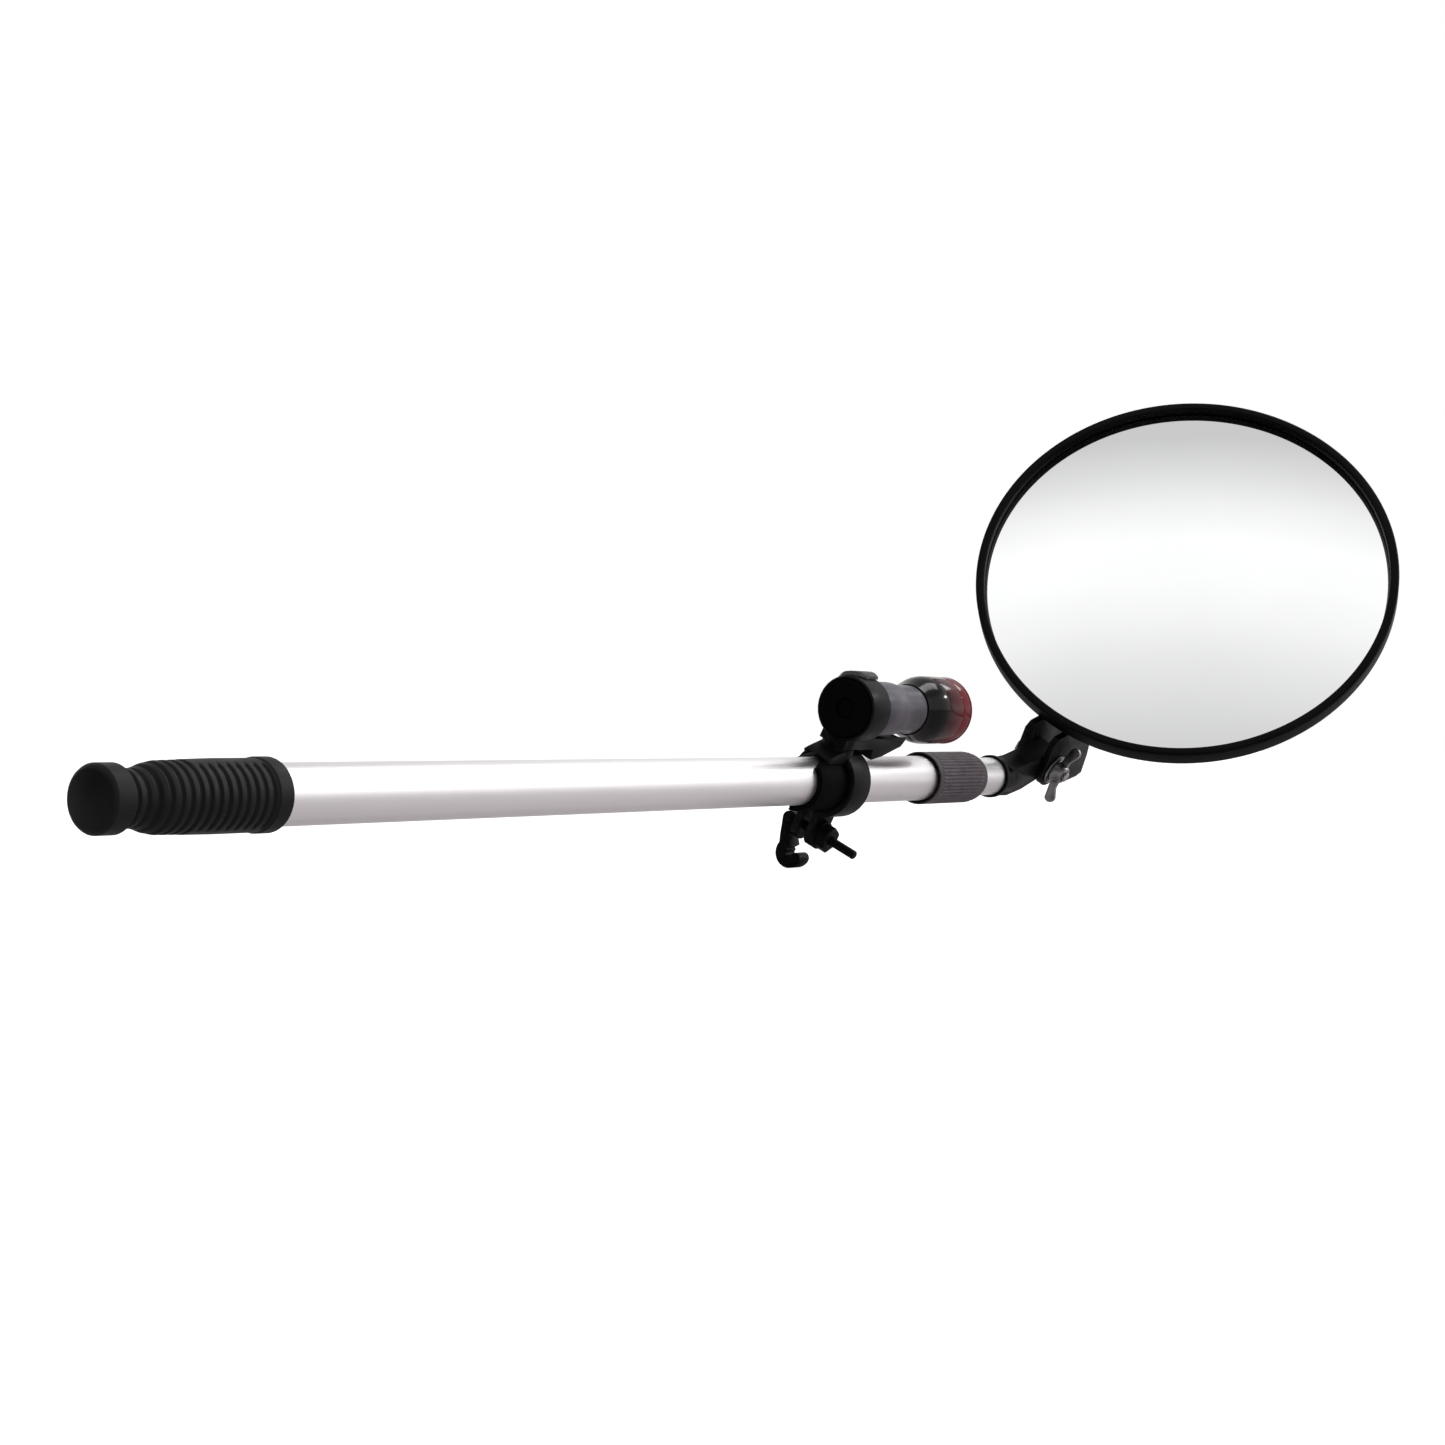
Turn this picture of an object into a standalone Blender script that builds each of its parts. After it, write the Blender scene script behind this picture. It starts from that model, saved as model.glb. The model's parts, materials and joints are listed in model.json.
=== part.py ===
"""Telescoping inspection mirror: a two-tube pole, a rubber grip, a clamped torch and a tilting convex mirror."""

import math

import bmesh
import bpy
from mathutils import Matrix

# Every size below is in millimetres; MM turns it into metres when a mesh or a place is set.
MM = 0.001
GAP = 0.3  # air left between two pieces that touch in the real tool
QUARTER_TURN = math.radians(90)
ALONG_X = (0, QUARTER_TURN, 0)  # turns a piece's own +Z to the pole's direction
TOWARDS_FRONT = (QUARTER_TURN, 0, 0)  # turns a piece's own +Z to -Y, the side with the wing nut

# Handle: the grip's end face is at X = 0 and the pole runs along +X.
GRIP_RADIUS = 14.2
GRIP_NECK_RADIUS = 11
GRIP_FLANGE_RADIUS = 13.1
GRIP_COLLAR_RADIUS = 14.8
GRIP_END = 90
GRIP_FLOOR = 31
GRIP_RIB_PITCH = 4.7
GRIP_RIB_COUNT = 14
GRIP_GROOVE_DEPTH = 0.7
TUBE_RADIUS = 12.5
TUBE_BORE = 11.4
TUBE_END = 628

# Twist lock at the mouth of the outer tube.
COLLAR_START = 611
COLLAR_END = 672
COLLAR_RADIUS = 14.3
COLLAR_RIB_HEIGHT = 0.5
COLLAR_RIB_COUNT = 24
SLEEVE_RADIUS = 13.6
COLLET_START = 636
COLLET_END = 662
COLLET_RADIUS = 13.5
COLLET_TIP_RADIUS = 12.3
COLLET_SLIT = 1.5

# Inner tube, drawn fully in.
INNER_RADIUS = 11.1
INNER_BORE = 10.1
INNER_START = 70
INNER_END = 698
SPIGOT_RADIUS = 9.8
FERRULE_RADIUS = 12.6
FERRULE_END = 702

# Knuckle and tilt pivot. The head is rolled about the pole, towards the front.
HEAD_ROLL = math.radians(32.7)
KNUCKLE_NECK_RADIUS = 9.9
KNUCKLE_HALF_WIDTH = 7
PIVOT_ALONG = 51.5  # from the ferrule's end to the pivot bolt
PIVOT_ABOVE = 12
PIVOT_BOSS_RADIUS = 11.5
SWIVEL_PIN_RADIUS = 4
BOLT_RADIUS = 3
WASHER_RADIUS = 9.5
WASHER_THICKNESS = 1.2

# Mirror, measured in the mirror's own frame: x runs backwards from the pivot bolt, z up the disc.
MIRROR_TILT = math.radians(34.8)
MIRROR_RADIUS = 127
MIRROR_CENTRE = 139
RIM_FRONT = -38
RIM_BACK = -26.5
RIM_LIP_RADIUS = 121.7
GLASS_RADIUS = 123.8
GLASS_EDGE = -32
GLASS_SAG = 7
GLASS_THICKNESS = 2
SHELL_BACK = -23
SHELL_THICKNESS = 5.2
BRACKET_THICKNESS = 4
DISC_STEPS = 64  # facets round the glass, shell and rim, which match so that they nest
CHEEK_THICKNESS = 4

# Torch clamp: two rings, one round the pole and one round the torch, on a swivel.
CLAMP_PLACE = 515
CLAMP_ROLL = math.radians(27)
CLAMP_HALF_WIDTH = 9.5
LINER_RADIUS = 15.7
CLAMP_BORE = 16
CLAMP_RADIUS = 19.5
CLAMP_SLIT = 5
LINER_START = -35
SLANT_SLOPE = 2.7  # the liner's slanted end runs this far along for each step up
SLANT_FOOT = -53.2  # where that slant would meet the pole's axis
SADDLE_TIP = -27
EAR_THICKNESS = 4
EAR_RADIUS = 8
ROD_BELOW = 28.6
ROD_RADIUS = 2.4
ROD_FRONT = 31
CAM_PIN_BEHIND = 11
CAM_RADIUS = 4.2
LEVER_HALF_WIDTH = 5
HOOK_BELOW = 45.3
HOOK_RADIUS = 5
HOOK_THICKNESS = 6.2
SWIVEL_TOP = 22
SWIVEL_PLACE = -9  # from the middle of the clamp's ring to the torch's swivel

# Torch, parallel to the pole; its places are along X from the swivel.
TORCH_ABOVE = 42.5
HOLDER_BORE = 15.8
HOLDER_RADIUS = 17.1
TORCH_RADIUS = 14.5
TORCH_TAIL_RADIUS = 15
TORCH_WAIST_RADIUS = 13.2
TORCH_HEAD_RADIUS = 18.5
TORCH_TAIL = -10.5
TORCH_BODY_START = -6.7
TORCH_WAIST = 41
TORCH_STUB = 56
TORCH_BODY_END = 81
TORCH_HEAD_END = 88
TORCH_BEZEL_END = 96.5
TORCH_FRONT = 99.5
TORCH_BORE = 10.5


def clear_scene():
    for obj in list(bpy.data.objects):
        bpy.data.objects.remove(obj, do_unlink=True)


def new_collection(name):
    collection = bpy.data.collections.new(name)
    bpy.context.scene.collection.children.link(collection)
    return collection


clear_scene()
PARTS = new_collection("inspection_mirror")
CUTTERS = new_collection("cutters")
CUTTERS.hide_render = True


def material(name, colour, roughness, metallic=0.0):
    found = bpy.data.materials.get(name)
    if found:
        return found
    made = bpy.data.materials.new(name)
    made.use_nodes = True
    shader = made.node_tree.nodes["Principled BSDF"]
    shader.inputs["Base Color"].default_value = (*colour, 1)
    shader.inputs["Roughness"].default_value = roughness
    shader.inputs["Metallic"].default_value = metallic
    return made


ALUMINIUM = material("satin_aluminium", (0.78, 0.77, 0.78), 0.35, 1.0)
STEEL = material("zinc_plated_steel", (0.58, 0.58, 0.57), 0.32, 1.0)
BLACK_RUBBER = material("black_rubber", (0.02, 0.02, 0.02), 0.7)
BLACK_PLASTIC = material("black_plastic", (0.015, 0.015, 0.016), 0.4)
GREY_PLASTIC = material("grey_plastic", (0.12, 0.11, 0.12), 0.55)
TORCH_ANODISE = material("anodised_torch", (0.05, 0.05, 0.06), 0.35, 0.8)
TORCH_GLOSS = material("gloss_black", (0.01, 0.01, 0.012), 0.12)
RED_PLASTIC = material("dark_red_plastic", (0.22, 0.01, 0.015), 0.12)
MIRROR_SILVER = material("silvered_mirror", (0.93, 0.94, 0.94), 0.03, 1.0)
LENS_CLEAR = material("clear_lens", (0.75, 0.8, 0.82), 0.05)
BRASS = material("brass", (0.72, 0.52, 0.22), 0.35, 1.0)
CELL_WRAP = material("cell_wrap", (0.07, 0.16, 0.35), 0.45)


def empty(name, parent=None, location=(0, 0, 0), rotation=(0, 0, 0)):
    obj = bpy.data.objects.new(name, None)
    obj.empty_display_size = 10 * MM
    PARTS.objects.link(obj)
    obj.parent = parent
    obj.location = [value * MM for value in location]
    obj.rotation_euler = rotation
    return obj


def place(obj, parent=None, location=(0, 0, 0), rotation=(0, 0, 0)):
    obj.parent = parent
    obj.location = [value * MM for value in location]
    obj.rotation_euler = rotation
    return obj


def shade(mesh):
    mesh.shade_smooth()
    mesh.set_sharp_from_angle(angle=math.radians(35))


def baked(obj):
    """Turns the object's modifiers or curve into a mesh of its own, shaded smooth with sharp corners."""
    bpy.context.view_layer.update()
    graph = bpy.context.evaluated_depsgraph_get()
    mesh = bpy.data.meshes.new_from_object(obj.evaluated_get(graph))
    work = bmesh.new()
    work.from_mesh(mesh)
    bmesh.ops.remove_doubles(work, verts=work.verts, dist=1e-7)
    bmesh.ops.recalc_face_normals(work, faces=work.faces)
    work.to_mesh(mesh)
    work.free()
    shade(mesh)
    name = obj.name
    bpy.data.objects.remove(obj, do_unlink=True)
    mesh.name = name
    solid = bpy.data.objects.new(name, mesh)
    PARTS.objects.link(solid)
    return solid


def turned(name, profile, steps=32):
    """Screws a profile of (radius, height) round Z. It runs down its outer side, and closes unless it ends on Z."""
    mesh = bpy.data.meshes.new(name)
    points = [(radius * MM, 0, height * MM) for radius, height in profile]
    edges = [(i, i + 1) for i in range(len(points) - 1)]
    if profile[0][0] > 0:
        edges.append((len(points) - 1, 0))
    mesh.from_pydata(points, edges, [])
    obj = bpy.data.objects.new(name, mesh)
    PARTS.objects.link(obj)
    screw = obj.modifiers.new("turn", "SCREW")
    screw.axis = "Z"
    screw.steps = steps
    screw.render_steps = steps
    screw.use_merge_vertices = True
    screw.merge_threshold = 1e-6
    return baked(obj)


def tube_profile(outer, inner, low, high):
    return [(outer, high), (outer, low), (inner, low), (inner, high)]


def rod_profile(radius, low, high, chamfer=0.0):
    if chamfer == 0:
        return [(0, high), (radius, high), (radius, low), (0, low)]
    return [
        (0, high),
        (radius - chamfer, high),
        (radius, high - chamfer),
        (radius, low + chamfer),
        (radius - chamfer, low),
        (0, low),
    ]


def box(name, low, high, bevel=0.0):
    """A box from its low corner to its high corner, with its edges rounded by bevel."""
    work = bmesh.new()
    bmesh.ops.create_cube(work, size=MM)
    for vert in work.verts:
        for axis in range(3):
            side = vert.co[axis] / MM + 0.5
            vert.co[axis] = (low[axis] + (high[axis] - low[axis]) * side) * MM
    mesh = bpy.data.meshes.new(name)
    work.to_mesh(mesh)
    work.free()
    obj = bpy.data.objects.new(name, mesh)
    PARTS.objects.link(obj)
    if bevel:
        round_edges(obj, bevel)
    return obj


def round_edges(obj, width, segments=1, angle=35):
    bevel = obj.modifiers.new("round_edges", "BEVEL")
    bevel.width = width * MM
    bevel.segments = segments
    bevel.limit_method = "ANGLE"
    bevel.angle_limit = math.radians(angle)
    return obj


def prism(name, radius, low, high, sides):
    """A closed cylinder, or a hexagon with 6 sides, along Z."""
    work = bmesh.new()
    bmesh.ops.create_cone(
        work, cap_ends=True, segments=sides, radius1=radius * MM, radius2=radius * MM, depth=(high - low) * MM
    )
    bmesh.ops.translate(work, verts=work.verts, vec=(0, 0, (low + high) / 2 * MM))
    mesh = bpy.data.meshes.new(name)
    work.to_mesh(mesh)
    work.free()
    shade(mesh)
    obj = bpy.data.objects.new(name, mesh)
    PARTS.objects.link(obj)
    return obj


def plate(name, outline, thickness):
    """A flat outline in XY as a filled curve, half its thickness to each side of Z = 0."""
    curve = bpy.data.curves.new(name, "CURVE")
    curve.dimensions = "2D"
    curve.fill_mode = "BOTH"
    curve.extrude = thickness / 2 * MM
    spline = curve.splines.new("POLY")
    spline.points.add(len(outline) - 1)
    for point, (x, y) in zip(spline.points, outline):
        point.co = (x * MM, y * MM, 0, 1)
    spline.use_cyclic_u = True
    obj = bpy.data.objects.new(name, curve)
    PARTS.objects.link(obj)
    return baked(obj)


def arc(centre, radius, start, end, count=12):
    """Points along an arc, from the start angle to the end angle in degrees."""
    angles = [math.radians(start + (end - start) * i / count) for i in range(count + 1)]
    return [(centre[0] + radius * math.cos(a), centre[1] + radius * math.sin(a)) for a in angles]


def combine(obj, tool, operation):
    """Adds a live Boolean to obj, and moves its tool to the cutters."""
    modifier = obj.modifiers.new(operation.lower(), "BOOLEAN")
    modifier.operation = operation
    modifier.solver = "EXACT"
    modifier.object = tool
    PARTS.objects.unlink(tool)
    CUTTERS.objects.link(tool)
    tool.name = f"cut_{obj.name}_{len(obj.modifiers)}"
    tool.display_type = "WIRE"
    tool.hide_render = True
    return obj


def join(obj, tool):
    return combine(obj, tool, "UNION")


def cut(obj, tool):
    return combine(obj, tool, "DIFFERENCE")


def coat(obj, surface):
    obj.data.materials.clear()
    obj.data.materials.append(surface)
    return obj


def grip_radius(x):
    """The grip narrows to a neck between its flange and its ribbed body."""
    neck_end, body_start = 20, 29
    if x <= neck_end:
        return GRIP_NECK_RADIUS
    if x >= body_start:
        return GRIP_RADIUS
    share = (x - neck_end) / (body_start - neck_end)
    return GRIP_NECK_RADIUS + (GRIP_RADIUS - GRIP_NECK_RADIUS) * (3 - 2 * share) * share**2


def make_grip():
    bore = TUBE_RADIUS + GAP
    last_groove = 79.5
    profile = [(0, GRIP_FLOOR), (bore, GRIP_FLOOR), (bore, GRIP_END)]
    profile += [(GRIP_COLLAR_RADIUS - 0.8, GRIP_END), (GRIP_COLLAR_RADIUS, GRIP_END - 0.8)]
    profile += [(GRIP_COLLAR_RADIUS, last_groove + 3.2), (GRIP_RADIUS, last_groove + 2.4)]
    for i in range(GRIP_RIB_COUNT):
        middle = last_groove - GRIP_RIB_PITCH * i
        for offset, depth in ((1.4, 0), (0, GRIP_GROOVE_DEPTH), (-1.4, 0)):
            profile.append((grip_radius(middle + offset) - depth, middle + offset))
    profile += [(GRIP_NECK_RADIUS, 13.5), (GRIP_FLANGE_RADIUS, 11)]
    profile += [(GRIP_FLANGE_RADIUS, 2.2), (GRIP_FLANGE_RADIUS - 0.7, 0.8)]
    profile += [(GRIP_FLANGE_RADIUS - 2.2, 0), (0, 0)]
    grip = turned("grip", profile, 28)
    strip_half_width, strip_start, strip_end = 4, 43, 81
    inside, outside = GRIP_RADIUS - 1.2, GRIP_RADIUS + 0.1
    for side in (1, -1):
        outline = arc((strip_start + 4, 0), strip_half_width, 90, 270, 8)
        outline += [(strip_end, -strip_half_width), (strip_end, strip_half_width)]
        strip = plate("strip", outline, outside - inside)
        place(strip, grip, rotation=(0, -QUARTER_TURN, 0))
        strip.location = (-side * (inside + outside) / 2 * MM, 0, 0)
        join(grip, strip)
    return coat(place(grip, rotation=ALONG_X), BLACK_RUBBER)


def make_outer_tube():
    tube = turned("outer_tube", tube_profile(TUBE_RADIUS, TUBE_BORE, GRIP_FLOOR + 0.5, TUBE_END))
    return coat(place(tube, rotation=ALONG_X), ALUMINIUM)


def make_lock_sleeve():
    start, end = COLLAR_START + 2, COLLET_START - 1.5
    sleeve = turned("lock_sleeve", tube_profile(SLEEVE_RADIUS, TUBE_RADIUS + GAP, start, end))
    return coat(place(sleeve, rotation=ALONG_X), BLACK_PLASTIC)


def make_lock_collet():
    inner = INNER_RADIUS + GAP
    tail = COLLET_START + 5
    profile = [(COLLET_TIP_RADIUS, COLLET_END), (COLLET_RADIUS, tail), (COLLET_RADIUS, COLLET_START)]
    profile += [(inner, COLLET_START), (inner, COLLET_END)]
    collet = turned("lock_collet", profile)
    reach, half = COLLET_RADIUS + 1, COLLET_SLIT / 2
    for name, low, high in (
        ("slit_across", (-reach, -half, tail), (reach, half, COLLET_END + 1)),
        ("slit_upright", (-half, -reach, tail), (half, reach, COLLET_END + 1)),
    ):
        slit = box(name, low, high)
        slit.parent = collet
        cut(collet, slit)
    return coat(place(collet, rotation=ALONG_X), GREY_PLASTIC)


def make_twist_collar(axis):
    sleeve_room, mouth = SLEEVE_RADIUS + GAP, INNER_RADIUS + GAP
    seat_end = COLLET_END + 2.5
    band = COLLAR_RADIUS + COLLAR_RIB_HEIGHT
    profile = [(COLLAR_RADIUS - 1.4, COLLAR_END), (COLLAR_RADIUS - 0.3, COLLAR_END - 3)]
    profile += [(COLLAR_RADIUS, COLLAR_END - 6), (band, COLLAR_START + 5), (band, COLLAR_START + 1)]
    profile += [(COLLAR_RADIUS, COLLAR_START), (sleeve_room, COLLAR_START), (sleeve_room, COLLET_START + 5)]
    profile += [(COLLET_TIP_RADIUS + GAP + 0.1, seat_end), (mouth, seat_end), (mouth, COLLAR_END)]
    profile = [(radius, height - COLLAR_START) for radius, height in profile]
    collar = turned("twist_collar", profile, 36)
    length = COLLAR_END - COLLAR_START
    ribs = bmesh.new()
    for i in range(COLLAR_RIB_COUNT):
        made = bmesh.ops.create_cube(ribs, size=MM)["verts"]
        bmesh.ops.scale(ribs, vec=(1.2, 1.9, length - 12), verts=made)
        middle = band - 0.6
        bmesh.ops.translate(ribs, vec=(middle * MM, 0, length / 2 * MM), verts=made)
        turn = Matrix.Rotation(math.tau * i / COLLAR_RIB_COUNT, 3, "Z")
        bmesh.ops.rotate(ribs, matrix=turn, verts=made)
    mesh = bpy.data.meshes.new("ribs")
    ribs.to_mesh(mesh)
    ribs.free()
    rib_object = bpy.data.objects.new("ribs", mesh)
    PARTS.objects.link(rib_object)
    rib_object.parent = collar
    join(collar, rib_object)
    return coat(place(collar, axis, rotation=ALONG_X), GREY_PLASTIC)


def make_inner_pole(axis):
    """The inner tube with the bush on its rear end and the ferrule that closes its front end."""
    back = COLLAR_START  # the axis empty stands here, on the pole's axis
    tube = turned("inner_tube", tube_profile(INNER_RADIUS, INNER_BORE, INNER_START - back, INNER_END - back))
    coat(place(tube, axis, rotation=ALONG_X), ALUMINIUM)

    flange = INNER_START - 8 - back
    shoulder = INNER_START - GAP - back
    bush_bore = 7
    profile = [(SPIGOT_RADIUS, shoulder + 14), (SPIGOT_RADIUS, shoulder), (INNER_RADIUS, shoulder)]
    profile += [(INNER_RADIUS, flange), (bush_bore, flange), (bush_bore, shoulder + 14)]
    coat(place(turned("guide_bush", profile, 32), axis, rotation=ALONG_X), GREY_PLASTIC)

    end, start, tail = FERRULE_END - back, INNER_END + GAP - back, INNER_END - 21 - back
    pin_room = SWIVEL_PIN_RADIUS + GAP
    edge = 0.5
    profile = [(FERRULE_RADIUS - edge, end), (FERRULE_RADIUS, end - edge), (FERRULE_RADIUS, start + edge)]
    profile += [(FERRULE_RADIUS - edge, start), (SPIGOT_RADIUS, start), (SPIGOT_RADIUS, tail)]
    profile += [(pin_room, tail), (pin_room, end)]
    coat(place(turned("pole_ferrule", profile), axis, rotation=ALONG_X), BLACK_PLASTIC)


def make_knuckle(axis):
    """The elbow that turns on the ferrule and carries the tilt pivot, and the pin that it turns on."""
    pivot = (PIVOT_ALONG, PIVOT_ABOVE)
    neck_start = 6
    outline = [(neck_start, -9.4), (18, -9.6), (34, -5)]
    outline += arc(pivot, PIVOT_BOSS_RADIUS, -115, 95, 16)
    outline += [(38, 18.5), (23, 13), (15, 10.4), (neck_start, 9.4)]
    tongue = plate("knuckle", outline, 2 * KNUCKLE_HALF_WIDTH)
    place(tongue, axis, rotation=TOWARDS_FRONT)
    round_edges(tongue, 1.5, 2, 50)
    neck = turned("neck", rod_profile(KNUCKLE_NECK_RADIUS, GAP, 17, 0.6), 32)
    neck.parent = tongue
    neck.rotation_euler = ALONG_X
    join(tongue, neck)
    pin_hole = prism("pin_hole", SWIVEL_PIN_RADIUS + GAP, -1, 15, 40)
    pin_hole.parent = tongue
    pin_hole.rotation_euler = ALONG_X
    cut(tongue, pin_hole)
    bolt_hole = prism("bolt_hole", BOLT_RADIUS + GAP, -KNUCKLE_HALF_WIDTH - 2, KNUCKLE_HALF_WIDTH + 2, 32)
    bolt_hole.parent = tongue
    bolt_hole.location = (PIVOT_ALONG * MM, PIVOT_ABOVE * MM, 0)
    cut(tongue, bolt_hole)
    coat(tongue, BLACK_PLASTIC)

    head_start, head_end, shank_end = -28, -25, 14.5
    profile = [(0, shank_end), (SWIVEL_PIN_RADIUS, shank_end), (SWIVEL_PIN_RADIUS, head_end)]
    profile += [(6, head_end), (6, head_start), (0, head_start)]
    coat(place(turned("swivel_pin", profile, 24), axis, rotation=ALONG_X), STEEL)


def make_pivot_fasteners(pivot):
    """The bolt, its two washers and the wing nut, all on the tilt axis."""
    cheek_out = KNUCKLE_HALF_WIDTH + GAP + CHEEK_THICKNESS
    washer_in = cheek_out + GAP
    washer_out = washer_in + WASHER_THICKNESS
    hole = BOLT_RADIUS + GAP
    front = turned("pivot_washer", tube_profile(WASHER_RADIUS, hole, washer_in, washer_out), 32)
    coat(place(front, pivot, rotation=TOWARDS_FRONT), STEEL)
    back = turned("bolt_washer", tube_profile(WASHER_RADIUS - 2.3, hole, -washer_out, -washer_in), 32)
    coat(place(back, pivot, rotation=TOWARDS_FRONT), STEEL)

    head_in = washer_out + GAP
    bolt_end = 21.5
    bolt = turned("pivot_bolt", rod_profile(BOLT_RADIUS, -head_in - 1.5, bolt_end, 0.5), 32)
    head = prism("bolt_head", 5.2, -head_in - 2.6, -head_in, 6)
    head.parent = bolt
    join(bolt, head)
    coat(place(bolt, pivot, rotation=TOWARDS_FRONT), STEEL)

    nut_in = washer_out + GAP
    nut_high, nut_foot, nut_neck = nut_in + 6.5, 7.2, 5.4
    profile = [(nut_neck - 0.6, nut_high), (nut_neck, nut_high - 0.8), (nut_foot, nut_in + 1.5)]
    profile += [(nut_foot, nut_in), (hole, nut_in), (hole, nut_high)]
    nut = turned("wing_nut", profile, 32)
    wing = [(4.3, nut_in + 0.9), (9.5, nut_in + 1.1), (14, nut_in + 2)]
    wing += arc((15.5, nut_in + 5.4), 3.3, -60, 130, 10)
    wing += [(9, nut_in + 5.6), (4.3, nut_in + 5.6)]
    for side in (1, -1):
        outline = [(side * across, up) for across, up in wing]
        blade = plate("blade", outline, 2.6)
        round_edges(blade, 0.6, angle=50)
        blade.parent = nut
        blade.rotation_euler = (QUARTER_TURN, 0, QUARTER_TURN)
        join(nut, blade)
    coat(place(nut, pivot, rotation=TOWARDS_FRONT), STEEL)


def cheek_outline():
    """A bracket cheek in (x, z): a foot under the rim, a round end at the pivot and a pointed tail behind."""
    plate_back = SHELL_BACK + GAP + BRACKET_THICKNESS
    outline = [(plate_back - 2, 46), (plate_back - 2, 15), (-25, 8), (-24, 3)]
    outline += arc((0, 0), 12, 215, 345, 14)
    return outline + [(16, 2), (29, 9.5), (35, 17), (37, 22), (24, 29), (-8, 40)]


def make_mirror_bracket(mirror):
    """The plate screwed to the mirror's back, with the two cheeks that hold the knuckle."""
    plate_front = SHELL_BACK + GAP
    plate_back = plate_front + BRACKET_THICKNESS
    bracket = box("mirror_bracket", (plate_front, -17, 16), (plate_back, 17, 68), 1.5)
    middle = KNUCKLE_HALF_WIDTH + GAP + CHEEK_THICKNESS / 2
    for side in (1, -1):
        cheek = plate("cheek", cheek_outline(), CHEEK_THICKNESS)
        round_edges(cheek, 0.6, angle=50)
        place(cheek, bracket, (0, side * middle, 0), TOWARDS_FRONT)
        join(bracket, cheek)
    bolt_hole = prism("bolt_hole", BOLT_RADIUS + GAP, -20, 20, 32)
    place(bolt_hole, bracket, rotation=TOWARDS_FRONT)
    cut(bracket, bolt_hole)
    for across, up in bracket_screw_places():
        screw_hole = prism("screw_hole", 2.2, plate_front - 1, plate_back + 1, 20)
        place(screw_hole, bracket, (0, across, up), ALONG_X)
        cut(bracket, screw_hole)
    place(bracket, mirror)
    return coat(bracket, BLACK_PLASTIC)


def bracket_screw_places():
    return [(0, 38), (-13, 60), (13, 60)]


def make_bracket_screws(mirror):
    head_start = SHELL_BACK + GAP + BRACKET_THICKNESS + GAP
    head_radius, shank_radius = 4, 1.9
    for number, (across, up) in enumerate(bracket_screw_places(), 1):
        crown, tip = head_start + 2.2, SHELL_BACK - 3.6
        profile = [(0, crown), (head_radius - 1.6, crown), (head_radius, head_start + 0.9)]
        profile += [(head_radius, head_start), (shank_radius, head_start), (shank_radius, tip), (0, tip)]
        screw = turned(f"bracket_screw_{number}", profile, 20)
        slot = box("slot", (-5, -0.5, head_start + 1.3), (5, 0.5, head_start + 3))
        slot.parent = screw
        cut(screw, slot)
        coat(place(screw, mirror, (0, across, up), ALONG_X), STEEL)


def glass_profile(edge, sag, radius, count=5):
    """Points of the convex face from its middle to its edge, bulging towards -x."""
    sphere = (radius**2 + sag**2) / (2 * sag)
    points = []
    for i in range(count + 1):
        out = radius * i / count
        points.append((out, edge - sag + sphere - math.sqrt(sphere**2 - out**2)))
    return points


def make_mirror_disc(mirror):
    """The glass, the shell behind it and the rubber rim that holds both together."""
    centre = (0, 0, MIRROR_CENTRE)
    front = glass_profile(GLASS_EDGE, GLASS_SAG, GLASS_RADIUS)
    back = [(out, x + GLASS_THICKNESS) for out, x in front]
    glass = turned("mirror_glass", back + front[::-1], DISC_STEPS)
    coat(place(glass, mirror, centre, ALONG_X), MIRROR_SILVER)

    flange_front = GLASS_EDGE + GLASS_THICKNESS + GAP
    flange_back = RIM_BACK - 1.5 - GAP
    inside = SHELL_BACK - SHELL_THICKNESS
    profile = [(0, SHELL_BACK), (106, SHELL_BACK), (108, SHELL_BACK - 0.6), (116, flange_back)]
    profile += [(GLASS_RADIUS, flange_back), (GLASS_RADIUS, flange_front), (112, flange_front), (107, inside), (0, inside)]
    shell = turned("mirror_back", profile, DISC_STEPS)
    for across, up in bracket_screw_places():
        hole = prism("hole", 2.2, SHELL_BACK - 4, SHELL_BACK + 1, 20)
        place(hole, shell, (-(up - MIRROR_CENTRE), across, 0))
        cut(shell, hole)
    coat(place(shell, mirror, centre, ALONG_X), BLACK_PLASTIC)

    groove, lip_back, round_off = GLASS_RADIUS + GAP, GLASS_EDGE - 0.7, 1.5
    profile = [(120, RIM_BACK), (MIRROR_RADIUS - round_off, RIM_BACK)]
    profile += [(MIRROR_RADIUS, RIM_BACK - round_off), (MIRROR_RADIUS, RIM_FRONT + round_off)]
    profile += [(MIRROR_RADIUS - round_off, RIM_FRONT), (RIM_LIP_RADIUS + 1, RIM_FRONT)]
    profile += [(RIM_LIP_RADIUS, RIM_FRONT + 1), (RIM_LIP_RADIUS, lip_back), (groove, lip_back)]
    profile += [(groove, RIM_BACK - 1.5), (120, RIM_BACK - 1.5)]
    rim = turned("mirror_rim", profile, DISC_STEPS)
    coat(place(rim, mirror, centre, ALONG_X), BLACK_RUBBER)


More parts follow.
